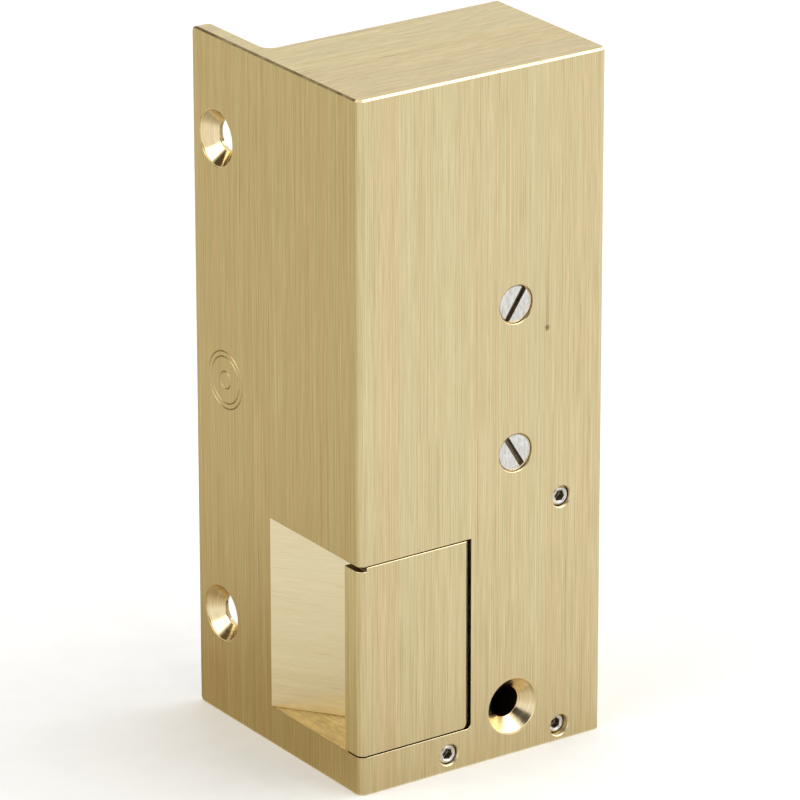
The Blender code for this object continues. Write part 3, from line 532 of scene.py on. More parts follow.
@dataclass
class Workpiece:
    """A solid that tools cut and pieces join, one after the other."""

    name: str
    stock: Solid
    finish: Finish
    helpers: list[Piece] = field(default_factory=list)

    def __post_init__(self) -> None:
        """Put the stock in the scene."""
        self.piece = as_object(self.name, self.stock, self.finish)

    def work(self, operation: str, tool: Solid, finish: Finish) -> None:
        """Apply a tool or a joined piece.

        Args:
            operation: DIFFERENCE or UNION.
            tool: The tool's solid.
            finish: The finish that it leaves.
        """
        helper = as_object(f"{self.name}_tool_{len(self.helpers)}", tool, finish)
        self.helpers.append(helper)
        modifier = self.piece.modifiers.new(helper.name, "BOOLEAN")
        modifier.operation = operation
        modifier.object = helper
        modifier.material_mode = "TRANSFER"

    def cut(self, tool: Solid, finish: Finish) -> None:
        """Cut a tool's shape away."""
        self.work("DIFFERENCE", tool, finish)

    def join(self, tool: Solid, finish: Finish) -> None:
        """Join a solid on."""
        self.work("UNION", tool, finish)

    def finished(self) -> Piece:
        """Work the stock with every tool, and clear the tools away.

        Returns:
            The piece with a plain mesh.
        """
        settle(self.piece)
        for helper in self.helpers:
            bpy.data.objects.remove(helper)
        return self.piece


def slot_of(piece: Piece, finish: Finish) -> int:
    """The number of the material slot with a finish, which is added where it is missing."""
    material = finish.material()
    if piece.data.materials.find(material.name) < 0:
        piece.data.materials.append(material)
    return piece.data.materials.find(material.name)


def chamfer(piece: Piece, width: float, finish: Finish, wanted: Callable[[Vector, Vector], bool],
            sharper: float = 50.0) -> None:
    """Break a piece's sharp edges.

    Args:
        piece: The piece.
        width: The chamfer's width in millimetres.
        finish: The finish of the new faces.
        wanted: Whether an edge is broken, from its two ends in millimetres from the case's corner.
        sharper: The least turn between an edge's faces, in degrees.
    """
    slot = slot_of(piece, finish)
    bm = bmesh.new()
    bm.from_mesh(piece.data)
    bmesh.ops.remove_doubles(bm, verts=bm.verts, dist=0.004 * MM)
    bmesh.ops.dissolve_degenerate(bm, edges=bm.edges, dist=0.004 * MM)
    edges = [e for e in bm.edges if len(e.link_faces) == 2 and e.calc_face_angle(0.0) > math.radians(sharper)
             and wanted(*((v.co - CORNER) / MM for v in e.verts))]
    bmesh.ops.bevel(bm, geom=edges, offset=width * MM, segments=1, affect="EDGES", material=slot,
                    clamp_overlap=False)
    bm.to_mesh(piece.data)
    bm.free()


def put(piece: Piece, body: str, slot: str, *nodes: str) -> Piece:
    """Hand a finished piece to the frame.

    Args:
        piece: The piece.
        body: The body that it rides on.
        slot: The record's material slot; not used.
        nodes: The CAD nodes that it stands for.

    Returns:
        The piece.
    """
    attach(piece, body)
    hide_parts(*nodes)
    LOG.info("%s: %d faces on body %s for %s", piece.name, len(piece.data.polygons), body, ", ".join(nodes))
    return piece


def dress(finish: Finish, *nodes: str) -> None:
    """Give CAD nodes that keep their shape a finish."""
    for node in nodes:
        piece = frame["nodes"][node]
        if not piece.material_slots:
            piece.data.materials.append(finish.material())
        for slot in piece.material_slots:
            slot.material = finish.material()
        LOG.info("%s: CAD node in %s", node, finish.name)


# ---------------------------------------------------------------- case
def rimmed_hole(bore: float, rim: float, deep: float) -> Outline:
    """The half profile of a round hole that opens at 0.

    Args:
        bore: The hole's radius.
        rim: How far its edge is broken.
        deep: Where the hole ends.

    Returns:
        Radii and places along the axis, starting outside the body.
    """
    return [(0, -1), (bore + rim, -1), (bore + rim, 0), (bore, rim), (bore, deep), (0, deep)]


@dataclass
class CaseShell:
    """The milled case: the body, its flange, the latch pocket and every hole."""

    flange: float = 2.7
    edge: float = 1.2
    flange_edge: float = 1.5
    flange_corner: float = 0.9
    top_chamfer: float = 0.28
    wall: float = 3.0
    latch_wall: float = 6.3
    pocket: tuple[float, float] = (5.9, 35.5)
    shelf: float = 38.0
    ramp_open: float = 23.0
    ramp_angle: float = math.radians(35.8)
    ramp_wall: float = 1.8
    window: float = 3.862
    window_corner: float = 0.8
    hub_room: float = 5.5
    sink: float = 4.5
    flange_sink: float = 4.45
    bore: float = 2.3
    rim: float = 0.2
    flange_holes: tuple[tuple[float, float], ...] = ((36.2, 16.0), (36.2, 89.6))
    mount_hole: tuple[float, float] = (26.75, 7.5)
    mark: tuple[float, float] = (34.4, 53.2)
    mark_rings: tuple[float, ...] = (4.35, 3.55, 1.3)
    mark_line: float = 0.11
    terminal_boss: tuple[Point, Point] = ((31.6, 2, 36.2), (40, 11.2, 41.2))
    plate_gap: float = 0.15
    seat_rim: float = 0.09
    set_rim: float = 0.16
    pin_rim: float = 0.15
    holes: list[tuple[Axis, Vector, float]] = field(default_factory=list)

    def __post_init__(self) -> None:
        """Read the case's size and the keeper's pivot from the frame."""
        low, high = node_box("case")
        self.width, self.flange_depth, self.height = high - low
        self.depth = node_box("back_plate")[1].y
        self.pivot = joint_place("keeper_swing")

    def outline(self) -> Outline:
        """The case seen from above.

        Returns:
            The outline of the body and the flange.
        """
        right = math.pi / 2
        fillet = (self.flange + self.flange_edge, self.depth + self.flange_edge)
        end = (self.flange - self.flange_edge, self.flange_depth - self.flange_edge)
        return [*arc((self.edge, self.edge), self.edge, 2 * right, 3 * right, 10),
                *arc((self.width - self.edge, self.edge), self.edge, 3 * right, 4 * right, 10),
                (self.width, self.depth),
                *arc(fillet, self.flange_edge, -right, -2 * right, 8),
                *arc(end, self.flange_edge, 0, right, 8),
                (0, self.flange_depth)]

    def ramp_point(self, distance: float, offset: float = 0.0) -> tuple[float, float]:
        """A point on the ramp seen from above.

        Args:
            distance: How far down the ramp it is from the latch side.
            offset: How far it is into the body.

        Returns:
            Its x and y.
        """
        along = Vector((math.sin(self.ramp_angle), -math.cos(self.ramp_angle)))
        inwards = Vector((math.cos(self.ramp_angle), math.sin(self.ramp_angle)))
        point = Vector((0, self.ramp_open)) + distance * along + offset * inwards
        return point.x, point.y

    def ramp_reach(self, offset: float) -> float:
        """How far down the ramp the room round the keeper's hub starts.

        Args:
            offset: How far the line lies into the body from the ramp.

        Returns:
            The distance from the latch side.
        """
        to_pivot = self.pivot.to_2d() - Vector((0, self.ramp_open))
        along = to_pivot.dot(Vector((math.sin(self.ramp_angle), -math.cos(self.ramp_angle))))
        aside = to_pivot.dot(Vector((math.cos(self.ramp_angle), math.sin(self.ramp_angle)))) - offset
        return along - math.sqrt(self.hub_room ** 2 - aside ** 2)

    def pocket_ring(self, z: float) -> list[Vector]:
        """The latch pocket and the keeper's window at one height.

        Args:
            z: The height.

        Returns:
            The ring's points; the window's lower corner on the hinge side is rounded.
        """
        above = min(z - self.pocket[0], self.window_corner)
        rounding = self.window_corner - math.sqrt(self.window_corner ** 2 - (self.window_corner - above) ** 2)
        half = self.window - rounding
        radius = math.hypot(half, self.pivot.y)
        at_front = math.atan2(self.pivot.y, half)
        end = self.ramp_point(self.ramp_reach(0.0))
        end_angle = math.atan2(end[1] - self.pivot.y, end[0] - self.pivot.x)
        middle = (self.pivot.x, self.pivot.y)
        beyond = self.ramp_point(-2.0)
        flat = [(-1.2, -1.0), (self.pivot.x + half, -1.0),
                *arc(middle, radius, -at_front, math.radians(5), 12),
                *arc(middle, min(self.hub_room, radius), math.radians(10), end_angle, 24),
                beyond, (-1.2, beyond[1])]
        return [Vector((x, y, z)) for x, y in flat]

    def pocket_tool(self) -> Solid:
        """The tool that leaves the latch pocket, the ramp and the keeper's window."""
        low, high = self.pocket
        steps = [low + self.window_corner * (1 - math.cos(math.pi / 2 * i / 6)) for i in range(7)]
        return loft([self.pocket_ring(z) for z in [*steps, high]])

    def lever_room(self) -> Solid:
        """The tool that leaves the lever's room behind the ramp."""
        inner = self.ramp_point(self.ramp_reach(self.ramp_wall) + 0.8, self.ramp_wall)
        behind = self.ramp_wall / math.sin(self.ramp_angle)
        outer = self.ramp_open + behind - self.latch_wall / math.tan(self.ramp_angle)
        right, back = self.width - self.wall, self.depth + 1
        outline = [(self.latch_wall, back), (self.latch_wall, outer), inner, (self.pivot.x + 3.2, self.wall),
                   (right, self.wall), (right, back)]
        return prism(outline, self.pocket[0], self.shelf + 1)

    def magnet_room(self) -> Solid:
        """The tool that leaves the upper room, with its two upper corners solid for the plate's screws."""
        left, right, high, corner = self.latch_wall, self.width - self.wall, self.height - 3.0, 6.2
        outline = [(left, self.shelf), (right, self.shelf), (right, high - corner), (right - corner, high),
                   (left + corner, high), (left, high - corner)]
        return prism(outline, self.wall, self.depth + 1, Axis.Y)

    def sink_tool(self, head: float, centre: Sequence[float], axis: Axis, deep: float) -> Solid:
        """The tool for a countersunk hole with a fine raised rim line.

        Args:
            head: The countersink's radius at the face.
            centre: Where its axis meets the face.
            axis: Its direction.
            deep: How deep the bore goes.

        Returns:
            The tool.
        """
        edge, inner = head - 0.1, head - 0.1 - self.rim
        depth = inner - self.bore
        profile = [(0, -1), (edge, -1), (edge, 0.1), (inner + 0.05, 0.14), (inner, 0.24),
                   (self.bore + 0.08, depth + 0.2), (self.bore, depth + 0.4), (self.bore, deep), (0, deep)]
        return lathe(profile, centre, axis, 96)

    def mark_tool(self, radius: float) -> Solid:
        """The tool for one fine engraved ring on the latch side."""
        half = self.mark_line
        inner, outer = radius - half, radius + half
        profile = [(inner, -0.5), (outer, -0.5), (outer, 0.0), (radius, half), (inner, 0.0)]
        return lathe(profile, (0, *self.mark), Axis.X, 80)

    def drill(self, work: Workpiece) -> None:
        """Make every hole of the case; all but the back plate's screw holes get a broken rim.

        Args:
            work: The case in work.
        """
        x, z = self.mount_hole
        work.cut(self.sink_tool(self.sink, (x, 0, z), Axis.Y, self.depth), TURNED_Y)
        self.holes.append((Axis.Y, Vector((x, 0, z)), self.sink))
        for y, z in self.flange_holes:
            work.cut(self.sink_tool(self.flange_sink, (0, y, z), Axis.X, self.flange + 1), TURNED_X)
            self.holes.append((Axis.X, Vector((0, y, z)), self.flange_sink))
        for node in ("magnet_screw_lower", "magnet_screw_upper"):
            low, high = node_box(node)
            head = (high.x - low.x) / 2
            seat = low.y + 0.3
            rim = head + self.seat_rim
            profile = [(0, -1), (rim, -1), (rim, 0), (head, self.seat_rim), (head, seat),
                       (head - 0.12, seat + 0.08), (head - 0.12, 2.0), (1.65, 2.0), (1.65, 4), (0, 4)]
            middle = node_middle(node)
            # the seat takes the brighter worn brass, which also paints a highlight ring round the head
            work.cut(lathe(profile, (middle.x, 0, middle.z), Axis.Y), WEAR_AND_HIGHLIGHT)
            self.holes.append((Axis.Y, middle, rim))
        for node in ("keeper_pin_set_screw", "lever_pin_lower_set_screw", "lever_pin_upper_set_screw"):
            low, high = node_box(node)
            bore = (high.x - low.x) / 2 + 0.1
            middle = node_middle(node)
            profile = rimmed_hole(bore, self.set_rim, high.y + 0.1)
            # the hole's rim takes the brighter worn brass, which also paints a highlight ring
            work.cut(lathe(profile, (middle.x, 0, middle.z), Axis.Y, 48), WEAR_AND_HIGHLIGHT)
            self.holes.append((Axis.Y, middle, bore + self.set_rim))
        for node in ("keeper_pin", "lever_pin"):
            low, high = node_box(node)
            middle, bore = node_middle(node), (high.x - low.x) / 2 + 0.08
            profile = rimmed_hole(bore, self.pin_rim, high.z + 0.2)
            # the pin holes are cut in the darker brass: painted shade
            work.cut(lathe(profile, (middle.x, middle.y, 0), Axis.Z, 48), ROOM_PAINTED_SHADE)
            self.holes.append((Axis.Z, middle, bore + self.pin_rim))
        for i in range(1, 5):
            low, high = node_box(f"back_plate_screw_{i}")
            middle = node_middle(f"back_plate_screw_{i}")
            # the plate's screw holes are cut in the darker brass: painted shade
            work.cut(lathe([(0, low.y - 1), (1.35, low.y - 1), (1.35, high.y + 1), (0, high.y + 1)],
                           (middle.x, 0, middle.z), Axis.Y, 24), ROOM_PAINTED_SHADE)

    def build(self) -> Piece:
        """Mill the case.

        Returns:
            The case with its finishes.
        """
        stock = prism(self.outline(), 0, self.height)
        top = place(0, 0, self.height).z
        rim = [e for e in stock.edges if all(abs(v.co.z - top) < 1e-6 for v in e.verts)]
        bmesh.ops.bevel(stock, geom=rim, offset=self.top_chamfer * MM, segments=1, affect="EDGES")
        work = Workpiece("case_shell", stock, UPRIGHT)
        # the rooms, the bosses and the plate's seat are cut and joined in the darker brass: painted shade
        work.cut(self.magnet_room(), ROOM_PAINTED_SHADE)
        work.cut(self.lever_room(), ROOM_PAINTED_SHADE)
        work.cut(self.pocket_tool(), MILLED)
        x, z = self.mount_hole
        work.join(block((x - 4.5, 2, z - 2.5), (x + 4.5, self.depth - 2, z + 4.5)), ROOM_PAINTED_SHADE)
        work.join(block(*self.terminal_boss), ROOM_PAINTED_SHADE)
        low, high = node_box("back_plate")
        gap = self.plate_gap
        seat = Vector((gap, gap, gap))
        work.cut(block(low - seat, (high.x + gap, self.depth + 1, high.z + gap)), ROOM_PAINTED_SHADE)
        self.drill(work)
        for radius in self.mark_rings:
            work.cut(self.mark_tool(radius), ENGRAVED)
        for up, z in ((-1, 0), (1, self.height)):
            work.cut(self.corner_tool(z, up), UPRIGHT)
        return self.finish(work.finished())

    def corner_tool(self, z: float, up: int) -> Solid:
        """The tool that rounds one corner of the flange's free end.

        Args:
            z: The height of the end.
            up: 1 at the top, and -1 at the bottom.

        Returns:
            The tool.
        """
        radius = self.flange_corner
        centre = (self.flange_depth - radius, z - up * radius)
        edge = arc(centre, radius, 0, up * math.pi / 2, 8)
        beyond = self.flange_depth + 1
        outline = [*edge, (edge[-1][0], z + up), (beyond, z + up), (beyond, edge[0][1])]
        return prism(outline, -1, self.flange + 1, Axis.X)

    def in_bore(self, centre: Vector) -> bool:
        """Whether a point in metres lies in the mounting hole's bore."""
        spot = (centre - CORNER) / MM
        return math.hypot(spot.x - self.mount_hole[0], spot.z - self.mount_hole[1]) < self.bore + 0.02

    def by_hole(self, point: Vector) -> bool:
        """Whether a point, in millimetres from the corner, lies within a hole's rim."""
        near = 0.05
        for axis, middle, radius in self.holes:
            across = point - middle
            across[axis.value] = 0
            if across.length < radius + near:
                return True
        return False

    def on_skin(self, a: Vector, b: Vector) -> bool:
        """Whether an edge lies on one of the case's outer faces and isn't a hole's rim."""
        near = 0.01
        if self.by_hole(a) and self.by_hole(b):
            return False
        planes = ((0, 0.0), (0, self.width), (1, 0.0), (1, self.depth), (1, self.flange_depth),
                  (2, 0.0), (0, self.flange))
        return any(abs(a[axis] - at) < near and abs(b[axis] - at) < near for axis, at in planes)

    def finish(self, piece: Piece) -> Piece:
        """Break the case's edges and give each face its finish, with a painted highlight on the worn edges
        and painted shade in the pocket and the bore.

        Args:
            piece: The milled case.

        Returns:
            The same piece.
        """
        # the broken edges take the brighter worn brass, which also paints highlight lines
        chamfer(piece, 0.07, WEAR_AND_HIGHLIGHT, self.on_skin)
        upright, milled = slot_of(piece, UPRIGHT), slot_of(piece, MILLED)
        across, wear_and_highlight, floor = slot_of(piece, ACROSS), slot_of(piece, WEAR_AND_HIGHLIGHT), slot_of(piece, POCKET_PAINTED_SHADE)
        turned, bore = slot_of(piece, TURNED_Y), slot_of(piece, BORE_PAINTED_SHADE)
        for face in piece.data.polygons:
            level = abs(face.normal.z)
            if face.material_index == upright and level > 0.9:
                face.material_index = across
            # the top chamfer takes the brighter worn brass, which also paints a highlight line
            elif face.material_index == upright and level > 0.3:
                face.material_index = wear_and_highlight
            # the pocket's flat floor and ceiling take the darker brass: painted shade
            elif face.material_index == milled and level > 0.9:
                face.material_index = floor
            # the mounting hole's bore takes the near-black brass: painted shade
            elif face.material_index == turned and self.in_bore(face.center):
                face.material_index = bore
        smooth(piece)
        return put(piece, "case", "brass", "case")


# ---------------------------------------------------------------- keeper
@dataclass
class Keeper:
    """The hinged keeper, its pin and the torsion spring round it."""

    lip: float = 3.9
    edge: float = 1.2
    front: float = 3.0
    corner: float = 0.8
    hub: float = 3.2
    cam: tuple[float, float] = (5.0, 3.6)
    cam_start: float = math.radians(15.0)
    cam_sweep: float = math.radians(75.0)
    cam_top: float = 30.8
    relief: float = 0.6
    bore: float = 1.58

    def __post_init__(self) -> None:
        """Read the keeper's place from the frame."""
        self.low, self.high = node_box("keeper")
        self.pivot = joint_place("keeper_swing")

    def ring(self, z: float) -> list[Vector]:
        """The keeper seen from above at one height.

        Args:
            z: The height.

        Returns:
            The ring's points; the lower corner on the hinge side is rounded.
        """
        above = min(z - self.low.z, self.corner)
        rounding = self.corner - math.sqrt(self.corner ** 2 - (self.corner - above) ** 2)
        half = self.front - rounding
        radius = math.hypot(half, self.pivot.y)
        middle = (self.pivot.x, self.pivot.y)
        flat = arc((self.edge, self.edge), self.edge, math.pi, 1.5 * math.pi, 10)
        flat += arc(middle, radius, -math.atan2(self.pivot.y, half), self.cam_start, 16)[:-1]
        for i in range(19):
            share = i / 18
            turn = self.cam_start + self.cam_sweep * share
            reach = min(radius, self.cam[0] + (self.cam[1] - self.cam[0]) * share)
            flat.append((middle[0] + reach * math.cos(turn), middle[1] + reach * math.sin(turn)))
        lip_angle = math.pi + math.asin((self.pivot.y - self.lip) / self.hub)
        flat += arc(middle, self.hub, self.cam_start + self.cam_sweep + 0.25, lip_angle, 14)
        flat.append((0, self.lip))
        return [Vector((x, y, z)) for x, y in flat]

    def leaf(self) -> Piece:
        """The keeper itself.

        Returns:
            The piece.
        """
        steps = [self.low.z + self.corner * (1 - math.cos(math.pi / 2 * i / 6)) for i in range(7)]
        work = Workpiece("keeper_leaf", loft([self.ring(z) for z in [*steps, self.high.z]]), UPRIGHT)
        pivot = (self.pivot.x, self.pivot.y, 0)
        # the keeper's bore, hub top and slot are cut in the darker brass: painted shade
        work.cut(lathe([(0, 0), (self.bore, 0), (self.bore, 50), (0, 50)], pivot, Axis.Z, 48), ROOM_PAINTED_SHADE)
        work.cut(lathe([(0, self.cam_top), (2.9, self.cam_top), (2.9, 50), (0, 50)], pivot, Axis.Z, 48), ROOM_PAINTED_SHADE)
        work.cut(block((-1, -1, self.high.z - self.relief), (self.edge, self.lip + 1, 40)), SHADED)
        slot_y = self.pivot.y + 1.7
        work.cut(block((self.pivot.x, slot_y, self.cam_top), (self.pivot.x + 6, slot_y + 5, 33)), ROOM_PAINTED_SHADE)
        piece = work.finished()
        # the keeper's broken edges take the brighter worn brass, which also paints highlight lines
        chamfer(piece, 0.06, WEAR_AND_HIGHLIGHT, self.on_leaf)
        across, side = slot_of(piece, ACROSS), slot_of(piece, KEEPER_SIDE_PAINTED_LIGHT)
        upright = slot_of(piece, UPRIGHT)
        for face in piece.data.polygons:
            if face.material_index == upright and abs(face.normal.z) > 0.9:
                face.material_index = across
            # the keeper's latch-side face takes the lighter copy of the brass: painted light
            elif face.material_index == upright and face.normal.x < -0.9:
                face.material_index = side
        smooth(piece)
        return put(piece, "keeper", "brass", "keeper")

    def on_leaf(self, a: Vector, b: Vector) -> bool:
        """Whether an edge is one of the leaf's own, outside the hub."""
        reach = self.pivot.x - 3.4
        front = a.y < 0.01 and b.y < 0.01
        return front or (a.x < reach and b.x < reach)

    def spring(self) -> Piece:
        """The torsion spring between the case and the keeper, which on the real strike winds up as the keeper
        swings.

        Returns:
            The piece.
        """
        x, y, _ = self.pivot
        low, high = self.cam_top + 0.8, self.high.z - 0.7
        path = [(x + 3.6, y + 2.15, low), *helix((x, y), 2.15, low, high, 3.25, math.pi / 2, 28),
                (x - 2.15, y, high + 0.6), (x - 2.15, y, CaseShell.pocket[1] + 1.2)]
        piece = Wire("keeper_torsion_spring", 0.3, SPRING).along(path)
        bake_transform(piece)
        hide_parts("keeper_spring")
        return piece


# ---------------------------------------------------------------- wire, springs and winding
def helix(centre: Sequence[float], radius: float, low: float, high: float, turns: float, start: float,
          steps: int = 24, axis: Axis = Axis.Z) -> list[Point]:
    """Points along a helix about an axis.

    Args:
        centre: The two coordinates of the axis.
        radius: The helix's radius.
        low: Where it starts along the axis.
        high: Where it ends.
        turns: The turns between them.
        start: The first point's angle in radians.
        steps: The points in a turn.
        axis: The axis.

    Returns:
        The points.
    """
    points = []
    count = round(turns * steps)
    for i in range(count + 1):
        angle = start + math.tau * turns * i / count
        point = [centre[0] + radius * math.cos(angle), centre[1] + radius * math.sin(angle)]
        point.insert(axis.value, low + (high - low) * i / count)
        points.append(tuple(point))
    return points


@dataclass
class Wire:
    """A round wire, made along its path by Geometry Nodes."""

    name: str
    radius: float
    finish: Finish
    sides: int = 10
    spacing: float = 0.35

    def tree(self) -> bpy.types.NodeTree:
        """Build the tree that sweeps a circle along the object's own curve.

        Returns:
            The node group.
        """
        group = new_group(self.name + "_sweep", "Path", {
            "Wire Radius": "Float", "Spacing": "Float", "Sides": "Int", "Finish": "Material"})
        kinds = ("NodeGroupInput", "GeometryNodeResampleCurve", "GeometryNodeCurvePrimitiveCircle",
                 "GeometryNodeCurveToMesh", "GeometryNodeSetShadeSmooth", "GeometryNodeRealizeInstances",
                 "GeometryNodeSetMaterial", "NodeGroupOutput")
        nodes = [group.nodes.new(kind) for kind in kinds]
        given, resample, circle, sweep, shade, realize, paint, result = nodes
        resample.mode = "LENGTH"
        sweep.inputs["Fill Caps"].default_value = True
        for source, target in (
                (given.outputs["Path"], resample.inputs["Curve"]),
                (given.outputs["Spacing"], resample.inputs["Length"]),
                (given.outputs["Sides"], circle.inputs["Resolution"]),
                (given.outputs["Wire Radius"], circle.inputs["Radius"]),
                (resample.outputs[0], sweep.inputs["Curve"]),
                (circle.outputs[0], sweep.inputs["Profile Curve"]),
                (sweep.outputs[0], shade.inputs["Geometry"]),
                (shade.outputs[0], realize.inputs["Geometry"]),
                (realize.outputs[0], paint.inputs["Geometry"]),
                (given.outputs["Finish"], paint.inputs["Material"]),
                (paint.outputs[0], result.inputs[0])):
            group.links.new(source, target)
        return group

    def along(self, path: Sequence[Point]) -> Piece:
        """Make the wire along a path.

        Args:
            path: The path's points in millimetres.

        Returns:
            The wire as a plain mesh.
        """
        curve = bpy.data.curves.new(self.name + "_path", "CURVE")
        curve.dimensions = "3D"
        spline = curve.splines.new("POLY")
        spline.points.add(len(path) - 1)
        for point, spot in zip(spline.points, path):
            point.co = (*place(*spot), 1.0)
        guide = bpy.data.objects.new(self.name + "_path", curve)
        bpy.context.scene.collection.objects.link(guide)
        values = {"Wire Radius": self.radius * MM, "Spacing": self.spacing * MM, "Sides": self.sides,
                  "Finish": self.finish.material()}
        return grown(self.name, guide, self.tree(), values)


def new_group(name: str, geometry: str, inputs: dict[str, str]) -> bpy.types.NodeTree:
    """Make an empty Geometry Nodes tree with named inputs.

    Args:
        name: The tree's name.
        geometry: The name of its geometry input.
        inputs: Each other input's kind by its name, without the NodeSocket prefix.

    Returns:
        The tree.
    """
    group = bpy.data.node_groups.new(name, "GeometryNodeTree")
    group.interface.new_socket(geometry, in_out="INPUT", socket_type="NodeSocketGeometry")
    for label, kind in inputs.items():
        group.interface.new_socket(label, in_out="INPUT", socket_type="NodeSocket" + kind)
    group.interface.new_socket("Mesh", in_out="OUTPUT", socket_type="NodeSocketGeometry")
    return group


def grown(name: str, host: Piece, group: bpy.types.NodeTree, values: dict) -> Piece:
    """Run a Geometry Nodes tree on an object and keep the result as a plain mesh.

    Args:
        name: The new piece's name.
        host: The object that carries the tree, which is removed.
        group: The tree.
        values: The tree's inputs by name.

    Returns:
        The new piece.
    """
    modifier = host.modifiers.new("grow", "NODES")
    modifier.node_group = group
    for item in group.interface.items_tree:
        if item.in_out == "INPUT" and item.name in values:
            modifier[item.identifier] = values[item.name]
    bpy.context.view_layer.update()
    mesh = bpy.data.meshes.new_from_object(host.evaluated_get(bpy.context.evaluated_depsgraph_get()))
    mesh.name = name
    bpy.data.objects.remove(host)
    piece = bpy.data.objects.new(name, mesh)
    bpy.context.scene.collection.objects.link(piece)
    return piece


# ---------------------------------------------------------------- fasteners
@dataclass
class FastenerSet:
    """Screws of one kind, put at their places and turns by Geometry Nodes."""

    name: str
    nodes: tuple[str, ...]
    turns: tuple[float, ...]
    slot: str
    finish: Finish

    def tree(self) -> bpy.types.NodeTree:
        """Build the tree that puts a turned copy of the screw on each point.

        Returns:
            The node group.
        """
        group = new_group(self.name + "_places", "Places", {
            "Screw": "Object", "Finish": "Material", "Recess Finish": "Material"})
        kinds = ("NodeGroupInput", "GeometryNodeObjectInfo", "GeometryNodeInputNamedAttribute",
                 "ShaderNodeCombineXYZ", "FunctionNodeEulerToRotation", "GeometryNodeInstanceOnPoints",
                 "GeometryNodeRealizeInstances", "GeometryNodeMaterialSelection", "FunctionNodeBooleanMath",
                 "GeometryNodeSetMaterial", "NodeGroupOutput")
        (given, info, turn, euler, rotation, instance, realize, shaded_recess, outside, paint,
         result) = (group.nodes.new(kind) for kind in kinds)
        outside.operation = "NOT"
        turn.data_type = "FLOAT"
        turn.inputs["Name"].default_value = "turn"
        for source, target in (
                (given.outputs["Places"], instance.inputs["Points"]),
                (given.outputs["Screw"], info.inputs["Object"]),
                (info.outputs["Geometry"], instance.inputs["Instance"]),
                (turn.outputs["Attribute"], euler.inputs["Y"]),
                (euler.outputs[0], rotation.inputs[0]),
                (rotation.outputs[0], instance.inputs["Rotation"]),
                (instance.outputs[0], realize.inputs["Geometry"]),
                (realize.outputs[0], paint.inputs["Geometry"]),
                # the recess keeps its dark colour, which is painted shade
                (given.outputs["Recess Finish"], shaded_recess.inputs["Material"]),
                (shaded_recess.outputs[0], outside.inputs[0]),
                (outside.outputs[0], paint.inputs["Selection"]),
                (given.outputs["Finish"], paint.inputs["Material"]), (paint.outputs[0], result.inputs[0])):
            group.links.new(source, target)
        return group

    def put(self, screw: Piece, fronts: Sequence[float]) -> Piece:
        """Put the screws at their nodes' places.

        Args:
            screw: One screw whose axis is the frame's Y axis through the origin, which is removed.
            fronts: How far back from the front face each screw's own zero lies.

        Returns:
            All the screws as one piece.
        """
        middles = [node_middle(node) for node in self.nodes]
        mesh = bpy.data.meshes.new(self.name + "_places")
        mesh.from_pydata([place(m.x, y, m.z) for m, y in zip(middles, fronts)], [], [])
        turns = mesh.attributes.new("turn", "FLOAT", "POINT")
        turns.data.foreach_set("value", [math.radians(turn) for turn in self.turns])
        host = bpy.data.objects.new(self.name + "_places", mesh)
        bpy.context.scene.collection.objects.link(host)
        piece = grown(self.name, host, self.tree(), {"Screw": screw, "Finish": self.finish.material(),
                                                     "Recess Finish": SOCKET_PAINTED_SHADE.material()})
        bpy.data.objects.remove(screw)
        return put(piece, "case", self.slot, *self.nodes)


def screw_stock(name: str, profile: Outline, finish: Finish, sides: int = 64) -> Workpiece:
    """Turn a screw about the frame's Y axis through the origin.

    Args:
        name: The screw's name.
        profile: Radii, and distances back from the head's front.
        finish: Its finish.
        sides: The sides of the round.

    Returns:
        The screw in work.
    """
    origin = -CORNER / MM
    return Workpiece(name, lathe(profile, origin, Axis.Y, sides), finish)


def about_origin(outline: Outline, low: float, high: float) -> Solid:
    """A prism along Y about the frame's origin, as a tool for a screw on the origin."""
    origin = -CORNER / MM
    shifted = [(origin.x + u, origin.z + v) for u, v in outline]
    return prism(shifted, origin.y + low, origin.y + high, Axis.Y)


